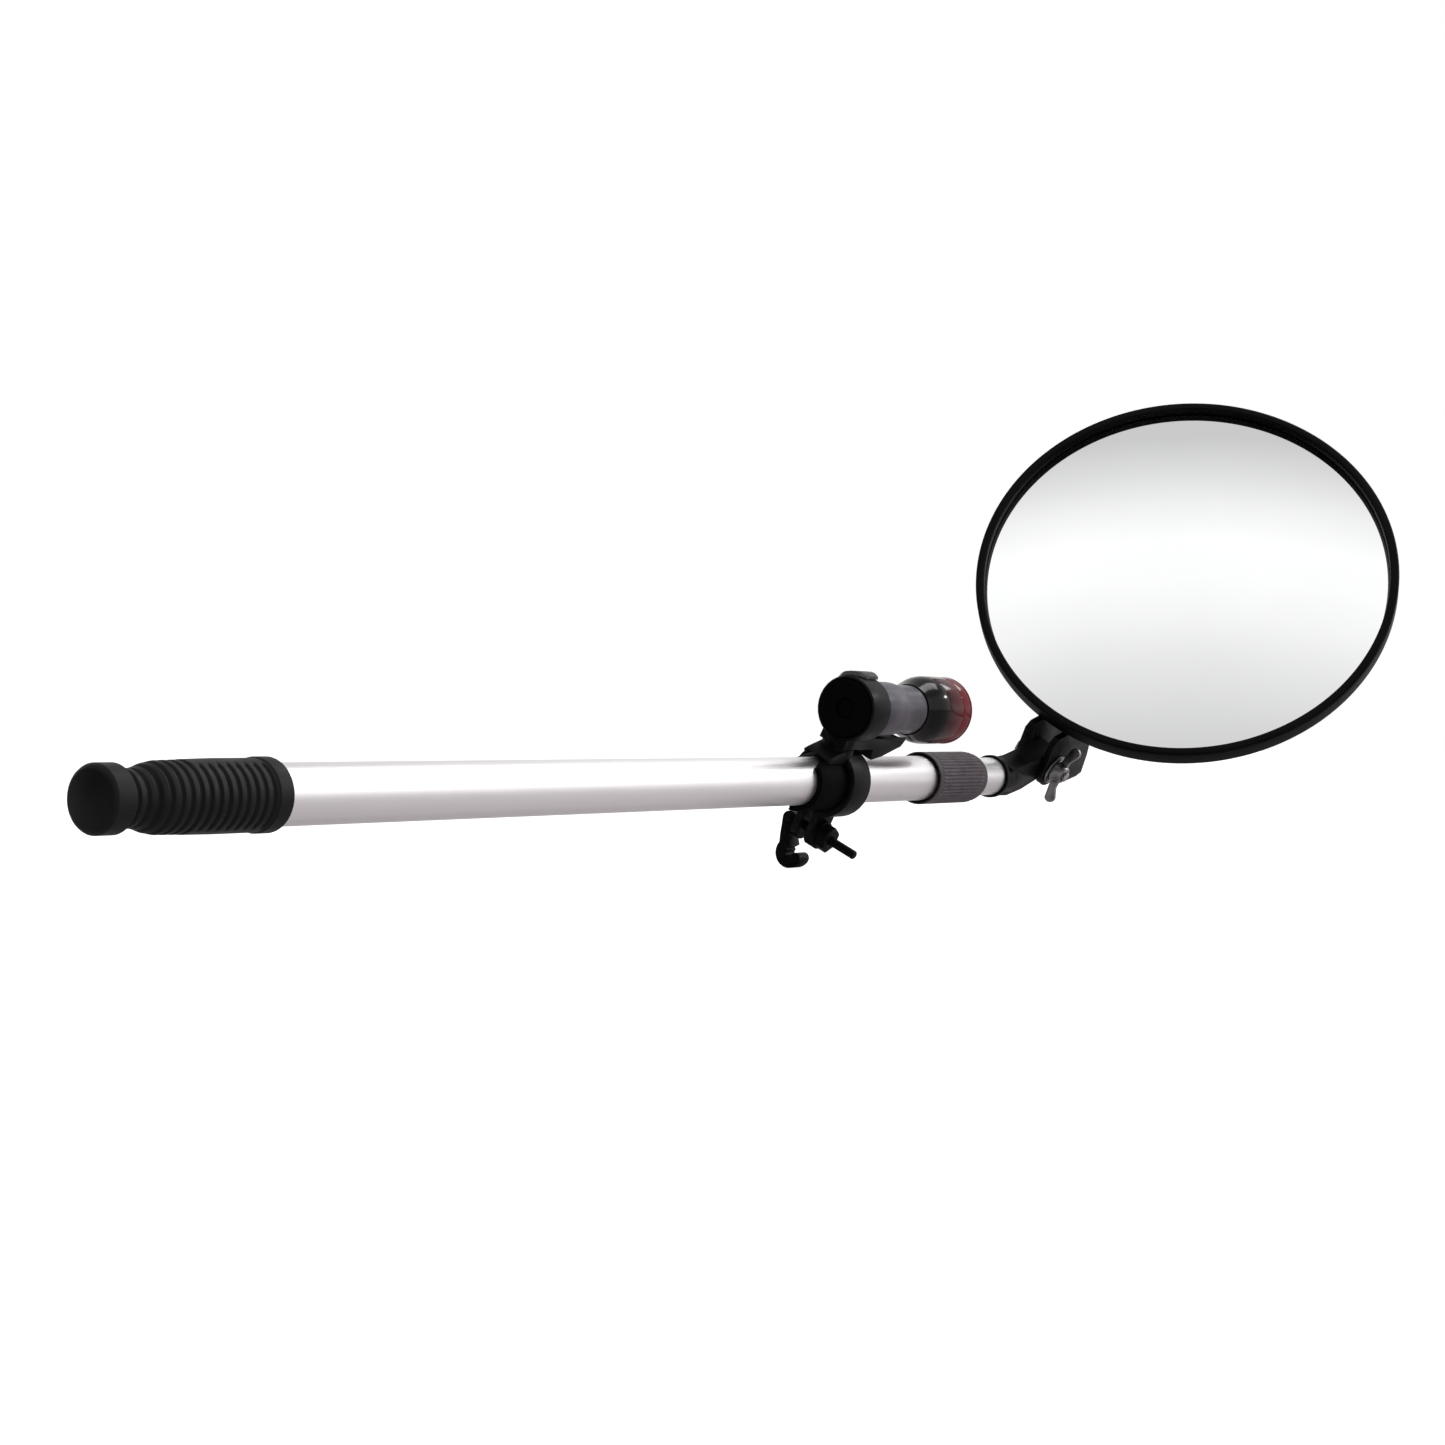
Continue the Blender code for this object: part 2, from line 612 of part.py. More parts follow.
def make_clamp_liner(slide):
    """The rubber sleeve between the pole and the clamp, slit below. Its longer rear end slants on top."""
    end = CLAMP_HALF_WIDTH + 1
    liner = turned("clamp_liner", tube_profile(LINER_RADIUS, TUBE_RADIUS + GAP, LINER_START, end))
    slit = box("slit", (10, -2, LINER_START - 5), (20, 2, 20))
    slit.parent = liner
    cut(liner, slit)
    steep = math.atan(SLANT_SLOPE)
    slant = box("slant", (-60, -25, 0), (60, 25, 40))
    place(slant, liner, (0, 0, SLANT_FOOT), (0, -QUARTER_TURN - (QUARTER_TURN - steep), -CLAMP_ROLL))
    cut(liner, slant)
    return coat(place(liner, slide, rotation=ALONG_X), BLACK_RUBBER)


def make_pole_clamp(swing):
    """The split ring round the pole, with two ears below for the rod, and the swivel boss and saddle above."""
    width = CLAMP_HALF_WIDTH
    clamp = turned("pole_clamp", rod_profile(CLAMP_RADIUS, -width, width, 1))
    half_slit = CLAMP_SLIT / 2
    ear_out = half_slit + EAR_THICKNESS
    outline = [(14, EAR_RADIUS), (14, -EAR_RADIUS)] + arc((ROD_BELOW, 0), EAR_RADIUS, -90, 90, 14)
    ears = plate("ears", outline, 2 * ear_out)
    place(ears, clamp, rotation=TOWARDS_FRONT)
    join(clamp, ears)
    boss = prism("boss", 9, LINER_RADIUS + 1, SWIVEL_TOP, 32)
    place(boss, clamp, (0, 0, SWIVEL_PLACE), (0, -QUARTER_TURN, 0))
    join(clamp, boss)
    tip, root = SADDLE_TIP, -width + 1.5
    outline = [(tip, 13), (tip, 15.5), (tip + 6, 18.2), (tip + 15, 21.2), (root, 21.2), (root, 13)]
    saddle = plate("saddle", [(-up, along) for along, up in outline], 17)
    round_edges(saddle, 1, angle=50)
    place(saddle, clamp, rotation=TOWARDS_FRONT)
    join(clamp, saddle)
    bore = prism("bore", CLAMP_BORE, tip - 5, 30, 32)
    bore.parent = clamp
    cut(clamp, bore)
    slit = box("slit", (8, -half_slit, -30), (60, half_slit, 30))
    slit.parent = clamp
    cut(clamp, slit)
    rod_hole = prism("rod_hole", ROD_RADIUS + GAP, -20, 20, 32)
    place(rod_hole, clamp, (ROD_BELOW, 0, 0), TOWARDS_FRONT)
    cut(clamp, rod_hole)
    screw_hole = prism("screw_hole", 3.2, 14, 30, 32)
    place(screw_hole, clamp, (0, 0, SWIVEL_PLACE), (0, -QUARTER_TURN, 0))
    cut(clamp, screw_hole)
    return coat(place(clamp, swing, rotation=ALONG_X), BLACK_PLASTIC)


def make_clamp_rod(swing):
    """The threaded rod through the ears, with the eye that the cam lever's pin goes through."""
    rod = turned("clamp_rod", rod_profile(ROD_RADIUS, -CAM_PIN_BEHIND, ROD_FRONT, 0.6), 32)
    eye = prism("eye", 3.6, -2.6, 2.6, 32)
    place(eye, rod, (0, 0, -CAM_PIN_BEHIND), ALONG_X)
    join(rod, eye)
    hole = prism("hole", 2 + GAP, -10, 10, 28)
    place(hole, rod, (0, 0, -CAM_PIN_BEHIND), ALONG_X)
    cut(rod, hole)
    coat(place(rod, swing, (0, 0, -ROD_BELOW), TOWARDS_FRONT), BLACK_PLASTIC)

    pin = turned("cam_pin", rod_profile(2, -5.6, 5.6, 0.3), 28)
    coat(place(pin, swing, (0, CAM_PIN_BEHIND, -ROD_BELOW), ALONG_X), STEEL)


def make_adjusting_nut(axis):
    ear_out = CLAMP_SLIT / 2 + EAR_THICKNESS + GAP
    nut = prism("adjusting_nut", 7.6, ear_out, ear_out + 8, 6)
    round_edges(nut, 0.6, angle=20)
    flange = prism("flange", 8, ear_out, ear_out + 2, 40)
    flange.parent = nut
    join(nut, flange)
    hole = prism("hole", ROD_RADIUS + GAP, 0, 40, 32)
    hole.parent = nut
    cut(nut, hole)
    return coat(place(nut, axis, rotation=TOWARDS_FRONT), BLACK_PLASTIC)


def make_cam_lever(axis):
    """The quick-release lever: a cam about the pin, a short arm and a hooked finger end.

    Its outline is drawn from the pin, as (towards the front, up).
    """
    hook = (CAM_PIN_BEHIND - 3.2, ROD_BELOW - HOOK_BELOW)
    half = HOOK_THICKNESS / 2
    root_angle, tip_angle = 150, 352
    tip = arc(hook, HOOK_RADIUS, tip_angle, tip_angle, 1)[0]
    outline = arc(hook, HOOK_RADIUS + half, root_angle, tip_angle, 18)
    outline += arc(tip, half, tip_angle - 360, tip_angle - 180, 6)[1:-1]
    outline += arc(hook, HOOK_RADIUS - half, tip_angle, root_angle, 14)
    finger = plate("cam_lever", [(-front, up) for front, up in outline], 2 * LEVER_HALF_WIDTH)
    place(finger, axis, rotation=(QUARTER_TURN, 0, QUARTER_TURN))
    round_edges(finger, 1, angle=50)
    cam = prism("cam", CAM_RADIUS, -LEVER_HALF_WIDTH, LEVER_HALF_WIDTH, 40)
    cam.parent = finger
    join(finger, cam)
    arm_outline = [(-4, -1), (4, -1), (4, -9), (7, -12.5), (4, -16.5), (0.5, -15), (-1, -11)]
    arm = plate("arm", [(-front, up) for front, up in arm_outline], 2 * LEVER_HALF_WIDTH)
    arm.parent = finger
    join(finger, arm)
    slot = box("slot", (-9, -5.2, -2.9), (9, 9, 2.9))
    slot.parent = finger
    cut(finger, slot)
    hole = prism("hole", 2 + GAP, -10, 10, 28)
    hole.parent = finger
    cut(finger, hole)
    return coat(finger, BLACK_PLASTIC)


def make_torch_holder(swivel):
    """The ring round the torch, its swivel foot and the rib under the barrel, and what is fastened to it."""
    width = CLAMP_HALF_WIDTH
    holder = turned("torch_holder", rod_profile(HOLDER_RADIUS, -width, width, 0.8))
    foot = prism("foot", 8.8, SWIVEL_TOP + GAP - TORCH_ABOVE, -10, 32)
    place(foot, holder, rotation=(0, -QUARTER_TURN, 0))
    join(holder, foot)
    foot_low, rib_high = SWIVEL_TOP + GAP - TORCH_ABOVE, -12
    outline = [(-8, foot_low), (23.5, foot_low), (26, foot_low - 6.2), (36, foot_low - 4.2)]
    outline += [(52, foot_low + 1.8), (54, foot_low + 5)]
    outline += [(54, rib_high), (-8, rib_high)]
    rib = plate("rib", [(-up, along) for along, up in outline], 16)
    place(rib, holder, rotation=TOWARDS_FRONT)
    join(holder, rib)
    barrel_room = prism("barrel_room", TORCH_RADIUS + 2 * GAP, 5, 60, 32)
    barrel_room.parent = holder
    cut(holder, barrel_room)
    bore = prism("bore", HOLDER_BORE, -30, 30, 32)
    bore.parent = holder
    cut(holder, bore)
    head_room = prism("head_room", 6, SWIVEL_TOP + 1.5 - TORCH_ABOVE, -10, 32)
    place(head_room, holder, rotation=(0, -QUARTER_TURN, 0))
    cut(holder, head_room)
    hole = prism("hole", 3.2, -30, -10, 32)
    place(hole, holder, rotation=(0, -QUARTER_TURN, 0))
    cut(holder, hole)
    coat(place(holder, swivel, (0, 0, TORCH_ABOVE), ALONG_X), BLACK_PLASTIC)

    head_low, shank_low = SWIVEL_TOP + 1.5 + GAP, 17
    profile = [(0, head_low + 1.9), (5.6, head_low + 1.9), (5.6, head_low)]
    profile += [(2.9, head_low), (2.9, shank_low), (0, shank_low)]
    coat(place(turned("swivel_screw", profile, 32), swivel), STEEL)

    liner_start = TORCH_BODY_START + GAP
    liner = turned("torch_liner", tube_profile(HOLDER_BORE - GAP, TORCH_RADIUS + GAP, liner_start, width + 1))
    coat(place(liner, swivel, (0, 0, TORCH_ABOVE), ALONG_X), BLACK_RUBBER)

    pad_in, pad_out, pad_half = HOLDER_RADIUS + GAP, HOLDER_RADIUS + 2.6, 8.5
    pad_start, pad_end = -width + 3, width + 5
    pad = turned("holder_pad", tube_profile(pad_out, pad_in, pad_start, pad_end), 40)
    room = box("room", (-pad_out - 2, -pad_half, pad_start - 0.5), (-10, pad_half, pad_end + 0.5), 5)
    room.parent = pad
    room.rotation_euler = (0, 0, -CLAMP_ROLL)
    combine(pad, room, "INTERSECT")
    coat(place(pad, swivel, (0, 0, TORCH_ABOVE), ALONG_X), GREY_PLASTIC)


def make_torch_body(torch):
    """The barrel with its waist, and the stub that the focusing head slides on."""
    profile = [(TORCH_RADIUS - 2.6, TORCH_BODY_END), (TORCH_RADIUS - 2.3, TORCH_BODY_END - 0.5)]
    profile += [(TORCH_RADIUS - 2.3, TORCH_STUB), (TORCH_WAIST_RADIUS - 0.4, TORCH_STUB)]
    profile += [(TORCH_WAIST_RADIUS, TORCH_STUB - 0.5), (TORCH_WAIST_RADIUS, TORCH_WAIST)]
    profile += [(TORCH_RADIUS, TORCH_WAIST - 9)]
    profile += [(TORCH_RADIUS, TORCH_BODY_START + 0.4), (TORCH_RADIUS - 0.4, TORCH_BODY_START)]
    profile += [(TORCH_BORE, TORCH_BODY_START), (TORCH_BORE, TORCH_BODY_END)]
    coat(place(turned("torch_body", profile), torch, rotation=ALONG_X), TORCH_ANODISE)

    led_start, led_end = TORCH_BODY_END - 10, TORCH_BODY_END - 1.5
    profile = [(0, led_end), (2.2, led_end), (3.4, led_end - 1.6), (TORCH_BORE - GAP, led_end - 1.6)]
    profile += [(TORCH_BORE - GAP, led_start), (0, led_start)]
    coat(place(turned("led_pill", profile, 28), torch, rotation=ALONG_X), BRASS)

    cell_start, cell_end = led_start - 66, led_start - 1
    profile = [(0, cell_end), (2.8, cell_end), (2.8, cell_end - 1.2), (8.4, cell_end - 1.2)]
    profile += [(9.1, cell_end - 2), (9.1, cell_start + 0.7), (8.4, cell_start), (0, cell_start)]
    coat(place(turned("battery_cell", profile, 28), torch, rotation=ALONG_X), CELL_WRAP)
    return cell_start


def make_torch_tail(torch, cell_start):
    """The tail cap, screwed into the barrel, and the coil that presses the cell forwards."""
    spigot_end = TORCH_BODY_START + 9
    flange = TORCH_BODY_START - GAP
    pocket, hole, floor = 7.3, 5.3, TORCH_TAIL + 4
    profile = [(TORCH_BORE - GAP, spigot_end), (TORCH_BORE - GAP, flange), (TORCH_TAIL_RADIUS - 0.3, flange)]
    profile += [(TORCH_TAIL_RADIUS, flange - 0.3), (TORCH_TAIL_RADIUS, TORCH_TAIL + 1)]
    profile += [(TORCH_TAIL_RADIUS - 1, TORCH_TAIL), (hole, TORCH_TAIL), (hole, floor), (pocket, floor), (pocket, spigot_end)]
    coat(place(turned("tail_cap", profile), torch, rotation=ALONG_X), BLACK_RUBBER)

    wire, coil_radius, turns, per_turn = 0.5, 5.5, 4, 12
    start, end = floor + 3.6 + wire, cell_start - GAP - wire
    curve = bpy.data.curves.new("tail_spring", "CURVE")
    curve.dimensions = "3D"
    curve.bevel_depth = wire * MM
    curve.bevel_resolution = 1
    curve.use_fill_caps = True
    spline = curve.splines.new("POLY")
    count = turns * per_turn
    spline.points.add(count)
    for i, point in enumerate(spline.points):
        angle = math.tau * i / per_turn
        x = start + (end - start) * i / count
        point.co = (x * MM, coil_radius * math.cos(angle) * MM, coil_radius * math.sin(angle) * MM, 1)
    spring = bpy.data.objects.new("tail_spring", curve)
    PARTS.objects.link(spring)
    coat(place(spring, torch), STEEL)


def make_tail_button(torch):
    seat = TORCH_TAIL + 4 + GAP
    face = TORCH_TAIL + 0.6
    profile = [(0, seat + 1.5), (7, seat + 1.5), (7, seat), (5, seat)]
    profile += [(5, face + 0.8), (4.2, face), (0, face)]
    button = turned("tail_button", profile, 28)
    return coat(place(button, torch, rotation=ALONG_X), BLACK_RUBBER)


def make_torch_head(focus):
    """The flared head, the red ring in front of it, the lens and the ring that holds the lens in."""
    stub_room = TORCH_RADIUS - 2.3 + GAP
    lens_room = 16
    start = TORCH_STUB + GAP
    profile = [(TORCH_HEAD_RADIUS, TORCH_HEAD_END), (TORCH_HEAD_RADIUS, start + 15)]
    profile += [(TORCH_HEAD_RADIUS - 0.5, start + 12), (TORCH_HEAD_RADIUS - 3.4, start + 4), (TORCH_WAIST_RADIUS + 0.6, start), (stub_room, start)]
    profile += [(stub_room, TORCH_BODY_END + 1), (lens_room, TORCH_BODY_END + 3), (lens_room, TORCH_HEAD_END)]
    coat(place(turned("torch_head", profile), focus, rotation=ALONG_X), TORCH_GLOSS)

    low, high = TORCH_HEAD_END + GAP, TORCH_BEZEL_END
    profile = tube_profile(TORCH_HEAD_RADIUS - 0.1, lens_room, low, high)
    coat(place(turned("bezel_ring", profile), focus, rotation=ALONG_X), RED_PLASTIC)

    low, high = TORCH_BEZEL_END + GAP, TORCH_FRONT
    profile = [(TORCH_HEAD_RADIUS - 2, high), (TORCH_HEAD_RADIUS - 0.6, high - 0.6)]
    profile += [(TORCH_HEAD_RADIUS, high - 1.6), (TORCH_HEAD_RADIUS, low), (14.5, low), (14.5, high)]
    coat(place(turned("lens_ring", profile), focus, rotation=ALONG_X), TORCH_GLOSS)

    back, edge, radius = TORCH_BEZEL_END - 7, TORCH_BEZEL_END - 2, lens_room - GAP
    angles = [math.radians(18 * i) for i in range(6)]
    dome = [(radius * math.sin(a), edge - 2 + 4 * math.cos(a)) for a in angles]
    lens = turned("torch_lens", dome + [(radius, back), (0, back)], 28)
    coat(place(lens, focus, rotation=ALONG_X), LENS_CLEAR)


def build():
    make_grip()
    make_outer_tube()
    make_lock_sleeve()
    make_lock_collet()
    lock_axis = empty("lock_axis", location=(COLLAR_START, 0, 0))
    make_twist_collar(lock_axis)
    make_inner_pole(empty("extend_axis", location=(COLLAR_START, 0, 0)))

    head = empty("head_swivel_axis", location=(FERRULE_END, 0, 0), rotation=(HEAD_ROLL, 0, 0))
    make_knuckle(head)
    pivot = empty("tilt_axis", head, (PIVOT_ALONG, 0, PIVOT_ABOVE))
    make_pivot_fasteners(pivot)
    mirror = empty("mirror_frame", pivot, rotation=(0, MIRROR_TILT, 0))
    make_mirror_bracket(mirror)
    make_bracket_screws(mirror)
    make_mirror_disc(mirror)

    swing = empty("clamp_axis", location=(CLAMP_PLACE, 0, 0), rotation=(CLAMP_ROLL, 0, 0))
    make_clamp_liner(swing)
    make_pole_clamp(swing)
    make_clamp_rod(swing)
    make_adjusting_nut(empty("nut_axis", swing, (0, 0, -ROD_BELOW)))
    make_cam_lever(empty("lever_axis", swing, (0, CAM_PIN_BEHIND, -ROD_BELOW)))
    swivel = empty("torch_swivel_axis", swing, (SWIVEL_PLACE, 0, 0))
    make_torch_holder(swivel)
    torch = empty("torch_axis", swivel, (0, 0, TORCH_ABOVE))
    cell_start = make_torch_body(torch)
    make_torch_tail(torch, cell_start)
    make_tail_button(torch)
    make_torch_head(torch)


build()
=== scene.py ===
import json
import math

import bmesh
import bpy
from mathutils import Matrix, Vector


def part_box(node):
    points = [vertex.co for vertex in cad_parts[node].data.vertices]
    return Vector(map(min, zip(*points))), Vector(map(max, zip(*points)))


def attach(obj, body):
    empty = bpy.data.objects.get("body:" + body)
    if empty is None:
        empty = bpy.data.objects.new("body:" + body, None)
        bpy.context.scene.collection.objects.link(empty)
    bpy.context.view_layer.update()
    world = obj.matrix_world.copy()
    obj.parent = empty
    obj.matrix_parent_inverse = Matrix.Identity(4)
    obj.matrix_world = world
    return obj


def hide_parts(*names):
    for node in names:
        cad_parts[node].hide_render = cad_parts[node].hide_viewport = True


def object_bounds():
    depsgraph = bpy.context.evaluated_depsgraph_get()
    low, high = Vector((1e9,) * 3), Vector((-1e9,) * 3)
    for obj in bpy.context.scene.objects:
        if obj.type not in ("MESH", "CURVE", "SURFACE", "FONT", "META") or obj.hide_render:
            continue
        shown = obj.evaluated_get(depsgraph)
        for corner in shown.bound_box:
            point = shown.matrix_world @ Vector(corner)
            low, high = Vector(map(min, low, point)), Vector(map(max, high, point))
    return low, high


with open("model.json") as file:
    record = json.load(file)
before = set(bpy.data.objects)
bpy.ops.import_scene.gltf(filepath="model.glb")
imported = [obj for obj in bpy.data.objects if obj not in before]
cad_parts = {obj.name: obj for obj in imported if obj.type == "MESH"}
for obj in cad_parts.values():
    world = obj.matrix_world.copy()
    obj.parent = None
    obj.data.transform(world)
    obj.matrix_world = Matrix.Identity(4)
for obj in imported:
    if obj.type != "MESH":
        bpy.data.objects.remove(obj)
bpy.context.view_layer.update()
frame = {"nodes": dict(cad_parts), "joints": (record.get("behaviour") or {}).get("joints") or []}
nodes = frame["nodes"]
joints = {joint["name"]: joint for joint in frame["joints"]}
print("frame loaded:", len(nodes), "nodes")

mm = 0.001
quarterTurn = math.radians(90)


# ---- where things stand: each frame has x along the pole (or into the mirror), z up and -y to the front

def frameAt(origin, along, up):
    along, up = Vector(along).normalized(), Vector(up).normalized()
    side = up.cross(along)
    matrix = Matrix((along, side, up)).transposed().to_4x4()
    matrix.translation = Vector(origin)
    return matrix


poleWay = Vector((1, 0, 0))
headFront = Vector(joints["mirror_tilt"]["axis"]).normalized()
headUp = headFront.cross(poleWay)
clampFront = Vector(joints["adjusting_nut_turn"]["axis"]).normalized()
clampUp = clampFront.cross(poleWay)
pivotPlace = Vector(joints["mirror_tilt"]["pos_m"])
torchSwivelPlace = Vector(joints["torch_swivel"]["pos_m"])

mirrorTilt = math.radians(34.8)
mirrorNormal = poleWay * math.cos(mirrorTilt) - headUp * math.sin(mirrorTilt)
mirrorUp = poleWay * math.sin(mirrorTilt) + headUp * math.cos(mirrorTilt)

poleFrame = Matrix.Identity(4)
discFrame = frameAt(pivotPlace + mirrorUp * 139.0 * mm, mirrorNormal, mirrorUp)
torchFrame = frameAt(torchSwivelPlace + clampUp * 42.5 * mm, poleWay, clampUp)


# ---- shader groups, each built once and used by several finishes

def shaderGroup(name, inputs, outputs):
    tree = bpy.data.node_groups.new(name, "ShaderNodeTree")
    for label, kind, default in inputs:
        socket = tree.interface.new_socket(label, in_out="INPUT", socket_type=kind)
        if default is not None:
            socket.default_value = default
    for label, kind in outputs:
        tree.interface.new_socket(label, in_out="OUTPUT", socket_type=kind)
    return tree, tree.nodes.new("NodeGroupInput"), tree.nodes.new("NodeGroupOutput")


def addNode(tree, kind, links=None, **settings):
    node = tree.nodes.new(kind)
    for key, value in settings.items():
        setattr(node, key, value)
    for socket, source in (links or {}).items():
        target = node.inputs[socket]
        if isinstance(source, bpy.types.NodeSocket):
            tree.links.new(source, target)
        else:
            target.default_value = source
    return node


def mathNode(tree, operation, first, second=0.0, clamp=False):
    node = addNode(tree, "ShaderNodeMath", {0: first, 1: second}, operation=operation, use_clamp=clamp)
    return node.outputs[0]


def noiseNode(tree, vector, scale, detail):
    links = {"Vector": vector, "Scale": scale, "Detail": detail}
    return addNode(tree, "ShaderNodeTexNoise", links).outputs["Fac"]


def rangeNode(tree, value, low, high, newLow, newHigh):
    links = {"Value": value, "From Min": low, "From Max": high, "To Min": newLow, "To Max": newHigh}
    return addNode(tree, "ShaderNodeMapRange", links).outputs["Result"]


def mixColours(tree, factor, first, second):
    node = tree.nodes.new("ShaderNodeMix")
    node.data_type = "RGBA"
    for index, source in ((0, factor), (6, first), (7, second)):
        if isinstance(source, bpy.types.NodeSocket):
            tree.links.new(source, node.inputs[index])
        else:
            node.inputs[index].default_value = source
    return node.outputs[2]


def buildGrain():
    # soft cloudy colour variation with a fine moulded or cast grain on top
    tree, given, put = shaderGroup(
        "surfaceGrain",
        [
            ("Vector", "NodeSocketVector", None),
            ("Cloud Scale", "NodeSocketFloat", 30.0),
            ("Grain Scale", "NodeSocketFloat", 900.0),
            ("Dark", "NodeSocketColor", None),
            ("Light", "NodeSocketColor", None),
            ("Smooth", "NodeSocketFloat", 0.3),
            ("Rough", "NodeSocketFloat", 0.5),
        ],
        [("Color", "NodeSocketColor"), ("Roughness", "NodeSocketFloat"), ("Height", "NodeSocketFloat")],
    )
    values = given.outputs
    cloud = noiseNode(tree, values["Vector"], values["Cloud Scale"], 4.0)
    grain = noiseNode(tree, values["Vector"], values["Grain Scale"], 2.0)
    cloudMask = rangeNode(tree, cloud, 0.35, 0.65, 0.0, 1.0)
    colour = mixColours(tree, cloudMask, values["Dark"], values["Light"])
    cloudShare = mathNode(tree, "MULTIPLY", cloudMask, 0.6)
    grainShare = mathNode(tree, "MULTIPLY", grain, 0.4)
    both = mathNode(tree, "ADD", cloudShare, grainShare)
    rough = rangeNode(tree, both, 0.1, 0.9, values["Smooth"], values["Rough"])
    tree.links.new(colour, put.inputs["Color"])
    tree.links.new(rough, put.inputs["Roughness"])
    tree.links.new(grain, put.inputs["Height"])
    return tree


def buildWear():
    # lighter, polished metal or rubbed plastic along convex edges, broken up by noise
    tree, given, put = shaderGroup(
        "edgeWear",
        [
            ("Vector", "NodeSocketVector", None),
            ("Amount", "NodeSocketFloat", 0.5),
            ("Base", "NodeSocketColor", None),
            ("Worn", "NodeSocketColor", None),
        ],
        [("Color", "NodeSocketColor"), ("Mask", "NodeSocketFloat")],
    )
    geometry = tree.nodes.new("ShaderNodeNewGeometry")
    edges = rangeNode(tree, geometry.outputs["Pointiness"], 0.52, 0.6, 0.0, 1.0)
    broken = rangeNode(tree, noiseNode(tree, given.outputs["Vector"], 260.0, 3.0), 0.4, 0.62, 0.0, 1.0)
    brokenEdges = mathNode(tree, "MULTIPLY", edges, broken)
    mask = mathNode(tree, "MULTIPLY", brokenEdges, given.outputs["Amount"], True)
    colour = mixColours(tree, mask, given.outputs["Base"], given.outputs["Worn"])
    tree.links.new(colour, put.inputs["Color"])
    tree.links.new(mask, put.inputs["Mask"])
    return tree


def buildDrawLines():
    # fine lines left along a drawn tube, and rings left by turning when the vector is stretched the other way
    tree, given, put = shaderGroup(
        "drawLines",
        [
            ("Vector", "NodeSocketVector", None),
            ("Lines", "NodeSocketFloat", 400.0),
            ("Dark", "NodeSocketColor", None),
            ("Light", "NodeSocketColor", None),
            ("Smooth", "NodeSocketFloat", 0.25),
            ("Rough", "NodeSocketFloat", 0.35),
        ],
        [("Color", "NodeSocketColor"), ("Roughness", "NodeSocketFloat"), ("Height", "NodeSocketFloat")],
    )
    values = given.outputs
    fine = noiseNode(tree, values["Vector"], values["Lines"], 3.0)
    broadMask = rangeNode(tree, noiseNode(tree, values["Vector"], 14.0, 2.0), 0.3, 0.7, 0.0, 1.0)
    colour = mixColours(tree, broadMask, values["Dark"], values["Light"])
    rough = rangeNode(tree, fine, 0.3, 0.7, values["Smooth"], values["Rough"])
    tree.links.new(colour, put.inputs["Color"])
    tree.links.new(rough, put.inputs["Roughness"])
    tree.links.new(fine, put.inputs["Height"])
    return tree


grainGroup = buildGrain()
wearGroup = buildWear()
lineGroup = buildDrawLines()


def startMaterial(name, stretch=(1.0, 1.0, 1.0)):
    material = bpy.data.materials.new(name)
    material.use_nodes = True
    tree = material.node_tree
    shader = tree.nodes["Principled BSDF"]
    place = tree.nodes.new("ShaderNodeTexCoord")
    mapping = addNode(tree, "ShaderNodeMapping", {"Vector": place.outputs["Object"], "Scale": stretch})
    return material, tree, shader, mapping.outputs["Vector"]


def colour4(value):
    return (value[0], value[1], value[2], 1.0)


def addBump(tree, shader, height, strength, distance):
    links = {"Height": height, "Strength": strength, "Distance": distance * mm}
    bump = addNode(tree, "ShaderNodeBump", links)
    tree.links.new(bump.outputs["Normal"], shader.inputs["Normal"])


def mouldedFinish(name, dark, light, worn, smooth, rough, look):
    # look: cloud and grain scales, wear amount, bump in mm, metallic, specular
    material, tree, shader, vector = startMaterial(name)
    grain = addNode(tree, "ShaderNodeGroup", node_tree=grainGroup)
    for socket, value in (
        ("Cloud Scale", look["cloud"]),
        ("Grain Scale", look["grain"]),
        ("Dark", colour4(dark)),
        ("Light", colour4(light)),
        ("Smooth", smooth),
        ("Rough", rough),
    ):
        grain.inputs[socket].default_value = value
    tree.links.new(vector, grain.inputs["Vector"])
    wear = addNode(tree, "ShaderNodeGroup", node_tree=wearGroup)
    wear.inputs["Amount"].default_value = look["wear"]
    wear.inputs["Worn"].default_value = colour4(worn)
    tree.links.new(vector, wear.inputs["Vector"])
    tree.links.new(grain.outputs["Color"], wear.inputs["Base"])
    tree.links.new(wear.outputs["Color"], shader.inputs["Base Color"])
    tree.links.new(grain.outputs["Roughness"], shader.inputs["Roughness"])
    addBump(tree, shader, grain.outputs["Height"], 0.5, look["bump"])
    shader.inputs["Metallic"].default_value = look.get("metallic", 0.0)
    shader.inputs["Specular IOR Level"].default_value = look.get("specular", 0.5)
    return material


def drawnFinish(name, dark, light, smooth, rough, stretch, look):
    material, tree, shader, vector = startMaterial(name, stretch)
    lines = addNode(tree, "ShaderNodeGroup", node_tree=lineGroup)
    for socket, value in (
        ("Lines", look["lines"]),
        ("Dark", colour4(dark)),
        ("Light", colour4(light)),
        ("Smooth", smooth),
        ("Rough", rough),
    ):
        lines.inputs[socket].default_value = value
    tree.links.new(vector, lines.inputs["Vector"])
    tree.links.new(lines.outputs["Color"], shader.inputs["Base Color"])
    tree.links.new(lines.outputs["Roughness"], shader.inputs["Roughness"])
    addBump(tree, shader, lines.outputs["Height"], 0.3, look["bump"])
    shader.inputs["Metallic"].default_value = look.get("metallic", 1.0)
    return material


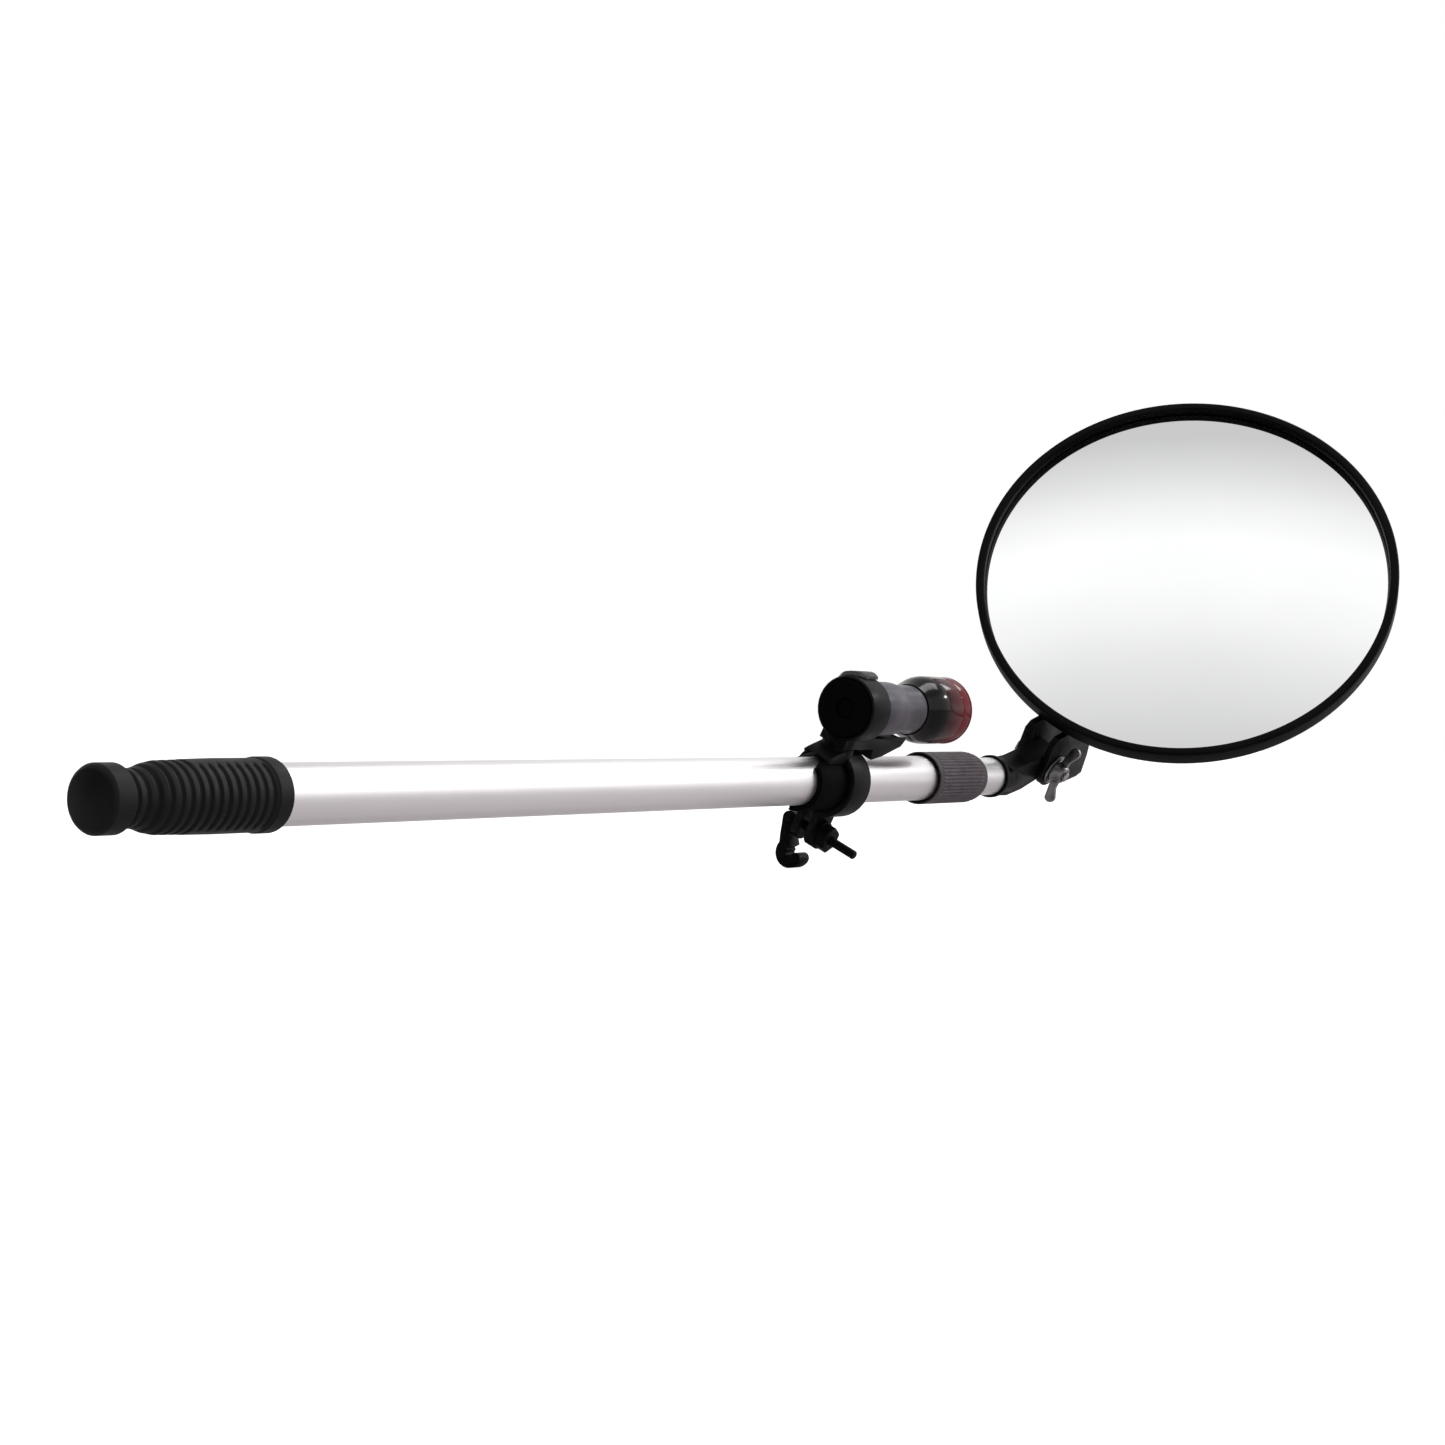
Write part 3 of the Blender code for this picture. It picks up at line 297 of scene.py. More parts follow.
blackRubber = mouldedFinish(
    "blackRubber", (0.0035, 0.0035, 0.004), (0.0075, 0.0075, 0.008), (0.012, 0.012, 0.013), 0.4, 0.58,
    {"cloud": 40.0, "grain": 1400.0, "wear": 0.5, "bump": 0.03, "specular": 0.16},
)
# a darker, less shiny copy of the black rubber for the tail cap, button and liners: painted shade that keeps
# their faces near black where they sit in shadow
shadedRubber = mouldedFinish(
    "shadedRubber", (0.0015, 0.0015, 0.0015), (0.003, 0.003, 0.003), (0.008, 0.008, 0.008), 0.55, 0.75,
    {"cloud": 60.0, "grain": 1600.0, "wear": 0.3, "bump": 0.03, "specular": 0.03},
)
rimRubber = mouldedFinish(
    "rimRubber", (0.002, 0.002, 0.002), (0.0045, 0.0045, 0.0045), (0.02, 0.02, 0.02), 0.38, 0.52,
    {"cloud": 25.0, "grain": 1200.0, "wear": 0.6, "bump": 0.02, "specular": 0.06},
)
blackPlastic = mouldedFinish(
    "blackPlastic", (0.002, 0.002, 0.002), (0.005, 0.005, 0.005), (0.02, 0.019, 0.019), 0.34, 0.5,
    {"cloud": 80.0, "grain": 1800.0, "wear": 0.5, "bump": 0.02, "specular": 0.08},
)
collarPlastic = mouldedFinish(
    "collarPlastic", (0.05, 0.042, 0.047), (0.085, 0.07, 0.08), (0.16, 0.14, 0.155), 0.42, 0.56,
    {"cloud": 90.0, "grain": 1500.0, "wear": 0.6, "bump": 0.03, "specular": 0.2},
)
greyPlastic = mouldedFinish(
    "greyPlastic", (0.02, 0.02, 0.022), (0.042, 0.042, 0.045), (0.11, 0.11, 0.11), 0.4, 0.55,
    {"cloud": 90.0, "grain": 1500.0, "wear": 0.5, "bump": 0.03, "specular": 0.3},
)
torchAnodise = mouldedFinish(
    "torchAnodise", (0.028, 0.028, 0.036), (0.1, 0.09, 0.108), (0.3, 0.28, 0.3), 0.28, 0.44,
    {"cloud": 55.0, "grain": 2200.0, "wear": 0.5, "bump": 0.01, "metallic": 0.45, "specular": 0.35},
)
zincPlate = mouldedFinish(
    "zincPlate", (0.13, 0.13, 0.13), (0.3, 0.3, 0.295), (0.62, 0.62, 0.61), 0.26, 0.42,
    {"cloud": 140.0, "grain": 1600.0, "wear": 0.9, "bump": 0.02, "metallic": 1.0},
)
satinAluminium = drawnFinish(
    "satinAluminium", (0.84, 0.81, 0.825), (0.9, 0.88, 0.89), 0.34, 0.44, (0.02, 1.0, 1.0),
    {"lines": 2600.0, "bump": 0.004},
)
turnedBrass = drawnFinish(
    "turnedBrass", (0.62, 0.43, 0.17), (0.74, 0.54, 0.25), 0.25, 0.4, (1.0, 0.05, 0.05),
    {"lines": 3000.0, "bump": 0.006},
)
springSteel = drawnFinish(
    "springSteel", (0.4, 0.4, 0.41), (0.55, 0.55, 0.55), 0.22, 0.36, (1.0, 1.0, 1.0),
    {"lines": 2500.0, "bump": 0.004},
)
cellWrap = mouldedFinish(
    "cellWrap", (0.05, 0.12, 0.3), (0.08, 0.19, 0.42), (0.2, 0.3, 0.5), 0.2, 0.34,
    {"cloud": 60.0, "grain": 900.0, "wear": 0.3, "bump": 0.01},
)


def buildSilver():
    # silvered glass: nearly even, with a faint film of dust that takes the edge off the reflection
    material, tree, shader, vector = startMaterial("silveredGlass")
    grain = addNode(tree, "ShaderNodeGroup", node_tree=grainGroup)
    for socket, value in (
        ("Cloud Scale", 9.0),
        ("Grain Scale", 500.0),
        ("Dark", (0.93, 0.935, 0.935, 1.0)),
        ("Light", (0.96, 0.965, 0.965, 1.0)),
        ("Smooth", 0.015),
        ("Rough", 0.04),
    ):
        grain.inputs[socket].default_value = value
    tree.links.new(vector, grain.inputs["Vector"])
    tree.links.new(grain.outputs["Color"], shader.inputs["Base Color"])
    tree.links.new(grain.outputs["Roughness"], shader.inputs["Roughness"])
    shader.inputs["Metallic"].default_value = 1.0
    return material


def buildHeadGloss(name, blackEnd, redEnd):
    # smoked gloss shell of the torch head: black behind, turning dark red towards its front edge
    material, tree, shader, vector = startMaterial(name)
    parts = addNode(tree, "ShaderNodeSeparateXYZ", {"Vector": vector})
    noise = noiseNode(tree, vector, 90.0, 3.0)
    wobble = mathNode(tree, "MULTIPLY", mathNode(tree, "SUBTRACT", noise, 0.5), 0.006)
    along = mathNode(tree, "ADD", parts.outputs["X"], wobble)
    mask = rangeNode(tree, along, blackEnd, redEnd, 0.0, 1.0)
    colour = mixColours(tree, mask, (0.003, 0.0025, 0.003, 1.0), (0.15, 0.008, 0.014, 1.0))
    tree.links.new(colour, shader.inputs["Base Color"])
    rough = rangeNode(tree, noise, 0.3, 0.7, 0.1, 0.18)
    tree.links.new(rough, shader.inputs["Roughness"])
    shader.inputs["Specular IOR Level"].default_value = 0.14
    return material


def buildLens():
    material, tree, shader, vector = startMaterial("clearLens")
    noise = noiseNode(tree, vector, 160.0, 2.0)
    rough = rangeNode(tree, noise, 0.3, 0.7, 0.02, 0.07)
    colour = mixColours(tree, noise, (0.9, 0.93, 0.95, 1.0), (0.97, 0.98, 0.99, 1.0))
    tree.links.new(rough, shader.inputs["Roughness"])
    tree.links.new(colour, shader.inputs["Base Color"])
    shader.inputs["Transmission Weight"].default_value = 0.85
    shader.inputs["IOR"].default_value = 1.49
    return material


headLow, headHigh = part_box("torch_head")
bezelLow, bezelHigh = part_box("bezel_ring")
silveredGlass = buildSilver()
headGloss = buildHeadGloss("smokedGloss", headLow.x + 0.38 * (headHigh.x - headLow.x), bezelHigh.x)
redGloss = buildHeadGloss("redGloss", headLow.x, bezelLow.x)
clearLens = buildLens()
print("materials ready:", len(bpy.data.materials))


# ---- mesh helpers

def meshObject(name, mesh, material):
    mesh.name = name
    mesh.materials.clear()
    mesh.materials.append(material)
    obj = bpy.data.objects.new(name, mesh)
    bpy.context.scene.collection.objects.link(obj)
    return obj


def smoothMesh(mesh, angle=38.0):
    mesh.shade_smooth()
    mesh.set_sharp_from_angle(angle=math.radians(angle))


def roundProfile(points, size, closed, count=4):
    # replaces each sharp corner of a profile with a short arc, as a real mould or lathe tool leaves it
    made = []
    total = len(points)
    for index, (radius, height) in enumerate(points):
        here = Vector((radius, height))
        if not closed and index in (0, total - 1):
            made.append((radius, height))
            continue
        before = Vector(points[index - 1]) - here
        after = Vector(points[(index + 1) % total]) - here
        turn = before.angle(after, math.pi)
        if turn > math.radians(150) or radius < 1e-6:
            made.append((radius, height))
            continue
        cutBack = min(size, 0.45 * before.length, 0.45 * after.length)
        start, end = here + before.normalized() * cutBack, here + after.normalized() * cutBack
        for step in range(count + 1):
            share = step / count
            point = start * (1 - share) ** 2 + here * 2 * share * (1 - share) + end * share**2
            made.append((point.x, point.y))
    return made


def turnedPiece(name, profile, place, material, steps=96, corner=0.0, angle=38.0):
    # profile: (radius, distance along the frame's x) in mm, closed unless it starts on the axis
    closed = profile[0][0] > 0
    if corner:
        profile = roundProfile(profile, corner, closed)
    work = bmesh.new()
    rings = []
    for radius, along in profile:
        ring = []
        for step in range(steps):
            turn = math.tau * step / steps
            across = radius * mm
            point = Vector((along * mm, -math.sin(turn) * across, math.cos(turn) * across))
            ring.append(work.verts.new(place @ point))
            if radius == 0:
                break
        rings.append(ring)
    pairs = list(zip(rings, rings[1:]))
    if closed:
        pairs.append((rings[-1], rings[0]))
    for first, second in pairs:
        for step in range(steps):
            other = (step + 1) % steps
            corners = [first[step % len(first)], first[other % len(first)]]
            corners += [second[other % len(second)], second[step % len(second)]]
            corners = [vert for index, vert in enumerate(corners) if vert not in corners[:index]]
            if len(corners) > 2:
                work.faces.new(corners)
    bmesh.ops.recalc_face_normals(work, faces=work.faces)
    mesh = bpy.data.meshes.new(name)
    work.to_mesh(mesh)
    work.free()
    smoothMesh(mesh, angle)
    return meshObject(name, mesh, material)


def applied(obj):
    # turns live modifiers into the object's own mesh
    bpy.context.view_layer.update()
    graph = bpy.context.evaluated_depsgraph_get()
    mesh = bpy.data.meshes.new_from_object(obj.evaluated_get(graph))
    obj.modifiers.clear()
    obj.data = mesh
    return obj


def softenedCopy(name, node, material, edge=0.35, segments=2, angle=38.0):
    # the CAD node's own shape as one joined mesh, with its corners rounded
    work = bmesh.new()
    work.from_mesh(nodes[node].data)
    bmesh.ops.remove_doubles(work, verts=work.verts, dist=1e-6)
    bmesh.ops.dissolve_limit(work, angle_limit=math.radians(0.5), verts=work.verts, edges=work.edges)
    mesh = bpy.data.meshes.new(name)
    work.to_mesh(mesh)
    work.free()
    for layer in [item.name for item in mesh.attributes if item.name in ("custom_normal", "UVMap")]:
        mesh.attributes.remove(mesh.attributes[layer])
    smoothMesh(mesh, angle)
    obj = meshObject(name, mesh, material)
    if edge:
        bevel = obj.modifiers.new("softCorners", "BEVEL")
        bevel.width = edge * mm
        bevel.segments = segments
        bevel.limit_method = "ANGLE"
        bevel.angle_limit = math.radians(angle)
        applied(obj)
        smoothMesh(obj.data, angle)
    return obj


def finishPiece(obj, body, slot, *stoodFor):
    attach(obj, body)
    if stoodFor:
        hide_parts(*stoodFor)
    return obj


def nodesTree(name, inputs):
    tree = bpy.data.node_groups.new(name, "GeometryNodeTree")
    tree.interface.new_socket("Geometry", in_out="INPUT", socket_type="NodeSocketGeometry")
    for label, kind in inputs:
        tree.interface.new_socket(label, in_out="INPUT", socket_type=kind)
    tree.interface.new_socket("Geometry", in_out="OUTPUT", socket_type="NodeSocketGeometry")
    return tree, tree.nodes.new("NodeGroupInput"), tree.nodes.new("NodeGroupOutput")


def coatedResult(tree, geometry, material, put):
    real = addNode(tree, "GeometryNodeRealizeInstances", {"Geometry": geometry})
    links = {"Geometry": real.outputs["Geometry"], "Material": material}
    coated = addNode(tree, "GeometryNodeSetMaterial", links)
    tree.links.new(coated.outputs["Geometry"], put.inputs["Geometry"])
    return tree


def runTree(obj, tree, values):
    modifier = obj.modifiers.new(tree.name, "NODES")
    modifier.node_group = tree
    for item in tree.interface.items_tree:
        if item.in_out == "INPUT" and item.name in values:
            modifier[item.identifier] = values[item.name]
    return applied(obj)


# ---- rubber grip: one contour cut by evenly pitched grooves, which stop at two smooth strips

grip = {
    "length": 90.0,
    "largest": 14.8,
    "ribPitch": 4.7,
    "ribCount": 15,
    "lastGroove": 79.5,
    "grooveDepth": 0.9,
    "grooveHalf": 1.5,
    "stripHalf": 7.4,
    "stripStart": 43.0,
    "stripEnd": 81.0,
    "stripRise": 0.1,
    "contour": [
        (0.0, 10.9), (0.8, 12.3), (2.2, 13.1), (10.6, 13.1), (12.8, 11.1), (19.5, 11.0), (22.5, 11.7),
        (26.5, 13.0), (31.0, 13.7), (60.0, 14.2), (81.2, 14.2), (82.2, 14.8), (89.2, 14.8), (90.0, 14.0),
    ],
}


def buildGripTree():
    floats = ("Length", "Largest Radius", "Rib Pitch", "Rib Count", "Last Groove", "Groove Depth")
    floats += ("Groove Half", "Strip Half", "Strip Start", "Strip End", "Strip Rise")
    inputs = [(label, "NodeSocketFloat") for label in floats] + [("Material", "NodeSocketMaterial")]
    tree, given, put = nodesTree("rubberGrip", inputs)
    values = given.outputs
    end = addNode(tree, "ShaderNodeCombineXYZ", {"X": values["Length"]})
    line = addNode(tree, "GeometryNodeCurvePrimitiveLine", {"End": end.outputs[0]})
    fine = addNode(tree, "GeometryNodeResampleCurve", {"Curve": line.outputs["Curve"], "Count": 425})
    ring = {"Resolution": 96, "Radius": values["Largest Radius"]}
    circle = addNode(tree, "GeometryNodeCurvePrimitiveCircle", ring)
    tube = addNode(
        tree, "GeometryNodeCurveToMesh",
        {"Curve": fine.outputs["Curve"], "Profile Curve": circle.outputs["Curve"], "Fill Caps": True},
    )
    spot = tree.nodes.new("GeometryNodeInputPosition")
    parts = addNode(tree, "ShaderNodeSeparateXYZ", {0: spot.outputs[0]})
    across, up = parts.outputs["Y"], parts.outputs["Z"]
    along = parts.outputs["X"]
    acrossSquare, upSquare = mathNode(tree, "MULTIPLY", across, across), mathNode(tree, "MULTIPLY", up, up)
    radius = mathNode(tree, "SQRT", mathNode(tree, "ADD", acrossSquare, upSquare))
    share = mathNode(tree, "DIVIDE", along, values["Length"])
    contour = addNode(tree, "ShaderNodeFloatCurve", {"Value": share})
    curve = contour.mapping.curves[0]
    points = [(x / grip["length"], radiusHere / grip["largest"]) for x, radiusHere in grip["contour"]]
    curve.points[0].location, curve.points[1].location = points[0], points[-1]
    for point in points[1:-1]:
        curve.points.new(*point)
    for point in curve.points:
        point.handle_type = "VECTOR"
    contour.mapping.update()
    outline = mathNode(tree, "MULTIPLY", contour.outputs[0], values["Largest Radius"])

    def softStep(value, edge, soft, before, after):
        low, high = mathNode(tree, "SUBTRACT", edge, soft), mathNode(tree, "ADD", edge, soft)
        return rangeNode(tree, value, low, high, before, after)

    behind = mathNode(tree, "SUBTRACT", values["Last Groove"], along)
    steps = mathNode(tree, "DIVIDE", behind, values["Rib Pitch"])
    nearest = mathNode(tree, "ROUND", steps)
    lastStep = mathNode(tree, "SUBTRACT", values["Rib Count"], 1.0)
    nearest = mathNode(tree, "MINIMUM", mathNode(tree, "MAXIMUM", nearest, 0.0), lastStep)
    away = mathNode(tree, "ABSOLUTE", mathNode(tree, "SUBTRACT", steps, nearest))
    away = mathNode(tree, "MULTIPLY", away, values["Rib Pitch"])
    fade = {"Value": away, "From Max": values["Groove Half"], "To Min": 1.0, "To Max": 0.0}
    groove = addNode(tree, "ShaderNodeMapRange", fade, interpolation_type="SMOOTHSTEP").outputs["Result"]
    side = mathNode(tree, "ABSOLUTE", across)
    inStrip = softStep(side, values["Strip Half"], 0.3 * mm, 1.0, 0.0)
    afterStart = softStep(along, values["Strip Start"], 0.5 * mm, 0.0, 1.0)
    beforeEnd = softStep(along, values["Strip End"], 0.5 * mm, 1.0, 0.0)
    strip = mathNode(tree, "MULTIPLY", inStrip, mathNode(tree, "MULTIPLY", afterStart, beforeEnd))
    grooveHere = mathNode(tree, "MULTIPLY", groove, mathNode(tree, "SUBTRACT", 1.0, strip))
    cutDepth = mathNode(tree, "MULTIPLY", grooveHere, values["Groove Depth"])
    raised = mathNode(tree, "MULTIPLY", strip, values["Strip Rise"])
    target = mathNode(tree, "ADD", mathNode(tree, "SUBTRACT", outline, cutDepth), raised)
    scale = mathNode(tree, "DIVIDE", target, radius)
    newAcross, newUp = mathNode(tree, "MULTIPLY", across, scale), mathNode(tree, "MULTIPLY", up, scale)
    newSpot = addNode(tree, "ShaderNodeCombineXYZ", {"X": along, "Y": newAcross, "Z": newUp})
    move = {"Geometry": tube.outputs["Mesh"], "Position": newSpot.outputs[0]}
    moved = addNode(tree, "GeometryNodeSetPosition", move)
    return coatedResult(tree, moved.outputs["Geometry"], values["Material"], put)


gripPiece = meshObject("rubberGrip", bpy.data.meshes.new("rubberGrip"), blackRubber)
runTree(
    gripPiece, buildGripTree(),
    {
        "Length": grip["length"] * mm, "Largest Radius": grip["largest"] * mm,
        "Rib Pitch": grip["ribPitch"] * mm, "Rib Count": float(grip["ribCount"]),
        "Last Groove": grip["lastGroove"] * mm,
        "Groove Depth": grip["grooveDepth"] * mm, "Groove Half": grip["grooveHalf"] * mm,
        "Strip Half": grip["stripHalf"] * mm, "Strip Start": grip["stripStart"] * mm,
        "Strip End": grip["stripEnd"] * mm, "Strip Rise": grip["stripRise"] * mm, "Material": blackRubber,
    },
)
smoothMesh(gripPiece.data, 50.0)
finishPiece(gripPiece, "handle", "black_rubber", "grip")
print("grip made:", len(gripPiece.data.polygons), "faces")


# ---- pole: outer tube, inner tube and the ferrule that closes it

pole = {
    "outerRadius": 12.5,
    "outerBore": 11.4,
    "outerStart": 31.5,
    "outerEnd": 628.0,
    "innerRadius": 11.1,
    "innerBore": 10.1,
    "innerStart": 70.0,
    "innerEnd": 698.0,
    "ferruleRadius": 12.6,
    "ferruleEnd": 702.0,
}


def tubeProfile(outer, inner, low, high):
    return [(outer, high), (outer, low), (inner, low), (inner, high)]


outerTube = turnedPiece(
    "outerTube", tubeProfile(pole["outerRadius"], pole["outerBore"], pole["outerStart"], pole["outerEnd"]),
    poleFrame, satinAluminium, 128, 0.3,
)
finishPiece(outerTube, "handle", "satin_aluminium", "outer_tube")
innerTube = turnedPiece(
    "innerTube", tubeProfile(pole["innerRadius"], pole["innerBore"], pole["innerStart"], pole["innerEnd"]),
    poleFrame, satinAluminium, 128, 0.3,
)
finishPiece(innerTube, "inner_pole", "satin_aluminium", "inner_tube")
spigot, spigotTail, pinRoom = 9.8, pole["innerEnd"] - 21.0, 4.3
ferruleStart, ferruleEnd = pole["innerEnd"] + 0.3, pole["ferruleEnd"]
ferruleProfile = [
    (pole["ferruleRadius"], ferruleEnd), (pole["ferruleRadius"], ferruleStart), (spigot, ferruleStart),
    (spigot, spigotTail), (pinRoom, spigotTail), (pinRoom, ferruleEnd),
]
ferrule = turnedPiece("poleFerrule", ferruleProfile, poleFrame, blackPlastic, 96, 0.9)
finishPiece(ferrule, "inner_pole", "black_plastic", "pole_ferrule")
print("pole made")


# ---- twist collar: a turned shell with ribs set evenly round it

collar = {
    "start": 611.0,
    "end": 672.0,
    "radius": 14.3,
    "ribHeight": 0.5,
    "ribRadius": 0.75,
    "ribCount": 44,
    "ribStart": 616.0,
    "ribEnd": 665.0,
    "rimRadius": 14.8,
    "sleeveRoom": 13.9,
    "seatRadius": 12.7,
    "seatStart": 641.0,
    "seatEnd": 664.5,
    "mouth": 11.4,
}


def buildRibTree():
    inputs = [(label, "NodeSocketFloat") for label in ("Start", "End", "Ring Radius", "Rib Radius")]
    inputs += [("Count", "NodeSocketInt"), ("Material", "NodeSocketMaterial")]
    tree, given, put = nodesTree("collarRibs", inputs)
    values = given.outputs
    circle = {"Vertices": values["Count"], "Radius": values["Ring Radius"]}
    ring = addNode(tree, "GeometryNodeMeshCircle", circle)
    upright = addNode(
        tree, "GeometryNodeTransform", {"Geometry": ring.outputs["Mesh"], "Rotation": (0.0, quarterTurn, 0.0)}
    )
    first = addNode(tree, "ShaderNodeCombineXYZ", {"X": values["Start"]})
    last = addNode(tree, "ShaderNodeCombineXYZ", {"X": values["End"]})
    ends = {"Start": first.outputs[0], "End": last.outputs[0]}
    line = addNode(tree, "GeometryNodeCurvePrimitiveLine", ends)
    fine = addNode(tree, "GeometryNodeResampleCurve", {"Curve": line.outputs["Curve"], "Count": 9})
    share = addNode(tree, "GeometryNodeSplineParameter")
    middle = mathNode(tree, "ABSOLUTE", mathNode(tree, "SUBTRACT", share.outputs["Factor"], 0.5))
    taper = rangeNode(tree, middle, 0.38, 0.5, 1.0, 0.45)
    tapered = addNode(tree, "GeometryNodeSetCurveRadius", {"Curve": fine.outputs["Curve"], "Radius": taper})
    section = addNode(
        tree, "GeometryNodeCurvePrimitiveCircle", {"Resolution": 8, "Radius": values["Rib Radius"]}
    )
    rib = addNode(
        tree, "GeometryNodeCurveToMesh",
        {"Curve": tapered.outputs["Curve"], "Profile Curve": section.outputs["Curve"], "Fill Caps": True},
    )
    spread = {"Points": upright.outputs["Geometry"], "Instance": rib.outputs["Mesh"]}
    copies = addNode(tree, "GeometryNodeInstanceOnPoints", spread)
    together = addNode(tree, "GeometryNodeJoinGeometry")
    tree.links.new(copies.outputs["Instances"], together.inputs[0])
    tree.links.new(values["Geometry"], together.inputs[0])
    return coatedResult(tree, together.outputs["Geometry"], values["Material"], put)


collarProfile = [
    (collar["radius"] - 1.4, collar["end"]), (collar["radius"] - 0.3, collar["end"] - 3),
    (collar["radius"], collar["end"] - 7), (collar["radius"], collar["start"] + 5),
    (collar["rimRadius"], collar["start"] + 4.4), (collar["rimRadius"], collar["start"]),
    (collar["sleeveRoom"], collar["start"]), (collar["sleeveRoom"], collar["seatStart"]),
    (collar["seatRadius"], collar["seatEnd"]), (collar["mouth"], collar["seatEnd"]),
    (collar["mouth"], collar["end"]),
]
collarPiece = turnedPiece("twistCollar", collarProfile, poleFrame, collarPlastic, 132, 0.5)
runTree(
    collarPiece, buildRibTree(),
    {
        "Start": collar["ribStart"] * mm, "End": collar["ribEnd"] * mm, "Count": collar["ribCount"],
        "Ring Radius": (collar["radius"] + collar["ribHeight"] - collar["ribRadius"]) * mm,
        "Rib Radius": collar["ribRadius"] * mm, "Material": collarPlastic,
    },
)
smoothMesh(collarPiece.data, 60.0)
finishPiece(collarPiece, "twist_collar", "grey_plastic", "twist_collar")
print("collar made:", len(collarPiece.data.polygons), "faces")


# ---- mirror: glass whose face follows a sphere, the shell behind it and the rubber rim round both

mirror = {
    "rimRadius": 127.0,
    "rimFront": -38.0,
    "rimBack": -26.5,
    "lipRadius": 121.7,
    "glassRadius": 123.8,
    "glassEdge": -32.0,
    "glassSag": 7.0,
    "glassThickness": 2.0,
    "shellBack": -23.0,
    "steps": 192,
}


def glassFace(count):
    radius, sag = mirror["glassRadius"], mirror["glassSag"]
    sphere = (radius**2 + sag**2) / (2 * sag)
    face = []
    for index in range(count + 1):
        out = radius * index / count
        face.append((out, mirror["glassEdge"] - sag + sphere - math.sqrt(sphere**2 - out**2)))
    return face


frontFace = glassFace(24)
backFace = [(out, along + mirror["glassThickness"]) for out, along in frontFace]
glassProfile = frontFace + backFace[::-1]
mirrorGlass = turnedPiece("mirrorGlass", glassProfile, discFrame, silveredGlass, mirror["steps"])
finishPiece(mirrorGlass, "mirror", "silvered_mirror", "mirror_glass")

gap = 0.3  # air between pieces that touch in the real tool
groove, lipBack, rimInside = mirror["glassRadius"] + gap, mirror["glassEdge"] - 0.7, 120
rimProfile = [
    (rimInside, mirror["rimBack"]), (mirror["rimRadius"], mirror["rimBack"]),
    (mirror["rimRadius"], mirror["rimFront"]), (mirror["lipRadius"], mirror["rimFront"]),
    (mirror["lipRadius"], lipBack), (groove, lipBack),
    (groove, mirror["rimBack"] - 1.5), (rimInside, mirror["rimBack"] - 1.5),
]
mirrorRim = turnedPiece("mirrorRim", rimProfile, discFrame, rimRubber, mirror["steps"], 1.4)
finishPiece(mirrorRim, "mirror", "black_rubber", "mirror_rim")

flangeBack, flangeFront = mirror["rimBack"] - 1.8, mirror["glassEdge"] + 2.3
shellBack, shellInside = mirror["shellBack"], mirror["shellBack"] - 5.2
shellProfile = [(0, shellBack)]
for ringMiddle in (40.0, 62.0, 84.0):  # shallow moulded rings stiffen the shell
    shellProfile += [(ringMiddle - 3, shellBack), (ringMiddle - 2, shellBack - 0.7)]
    shellProfile += [(ringMiddle + 2, shellBack - 0.7), (ringMiddle + 3, shellBack)]
shellProfile += [
    (106, shellBack), (108, shellBack - 0.6), (116, flangeBack), (mirror["glassRadius"], flangeBack),
    (mirror["glassRadius"], flangeFront), (112, flangeFront), (107, shellInside), (0, shellInside),
]
mirrorShell = turnedPiece("mirrorShell", shellProfile, discFrame, blackPlastic, mirror["steps"], 0.6)
finishPiece(mirrorShell, "mirror", "black_plastic", "mirror_back")
print("mirror made")


# ---- torch: barrel, tail cap, button, head, red ring and lens

torch = {
    "barrel": 14.5,
    "tail": 15.0,
    "waist": 13.2,
    "head": 18.5,
    "tailEnd": -10.5,
    "bodyStart": -6.7,
    "waistAt": 41.0,
    "stub": 56.0,
    "bodyEnd": 81.0,
    "headEnd": 88.0,
    "bezelEnd": 96.5,
    "front": 99.5,
    "bore": 10.5,
}
slimStub = torch["barrel"] - 2.3
barrelProfile = [
    (slimStub, torch["bodyEnd"]), (slimStub, torch["stub"]), (torch["waist"], torch["stub"]),
    (torch["waist"], torch["waistAt"] + 1), (torch["waist"] + 0.25, torch["waistAt"] - 2),
    (torch["barrel"] - 0.25, torch["waistAt"] - 7), (torch["barrel"], torch["waistAt"] - 10),
    (torch["barrel"], torch["bodyStart"]), (torch["bore"], torch["bodyStart"]),
    (torch["bore"], torch["bodyEnd"]),
]
torchBarrel = turnedPiece("torchBarrel", barrelProfile, torchFrame, torchAnodise, 112, 0.5)
finishPiece(torchBarrel, "torch", "anodised_torch", "torch_body")

tailFlange, spigotEnd, buttonHole = torch["bodyStart"] - gap, torch["bodyStart"] + 9, 5.3
tailFloor, springPocket = torch["tailEnd"] + 4, 7.3
tailProfile = [
    (torch["bore"] - gap, spigotEnd), (torch["bore"] - gap, tailFlange), (torch["tail"], tailFlange),
    (torch["tail"], torch["tailEnd"]), (buttonHole, torch["tailEnd"]), (buttonHole, tailFloor),
    (springPocket, tailFloor), (springPocket, spigotEnd),
]
# the tail cap takes the darker copy of the rubber: painted shade on its end face
tailCap = turnedPiece("tailCap", tailProfile, torchFrame, shadedRubber, 112, 0.7)
finishPiece(tailCap, "torch", "black_rubber", "tail_cap")

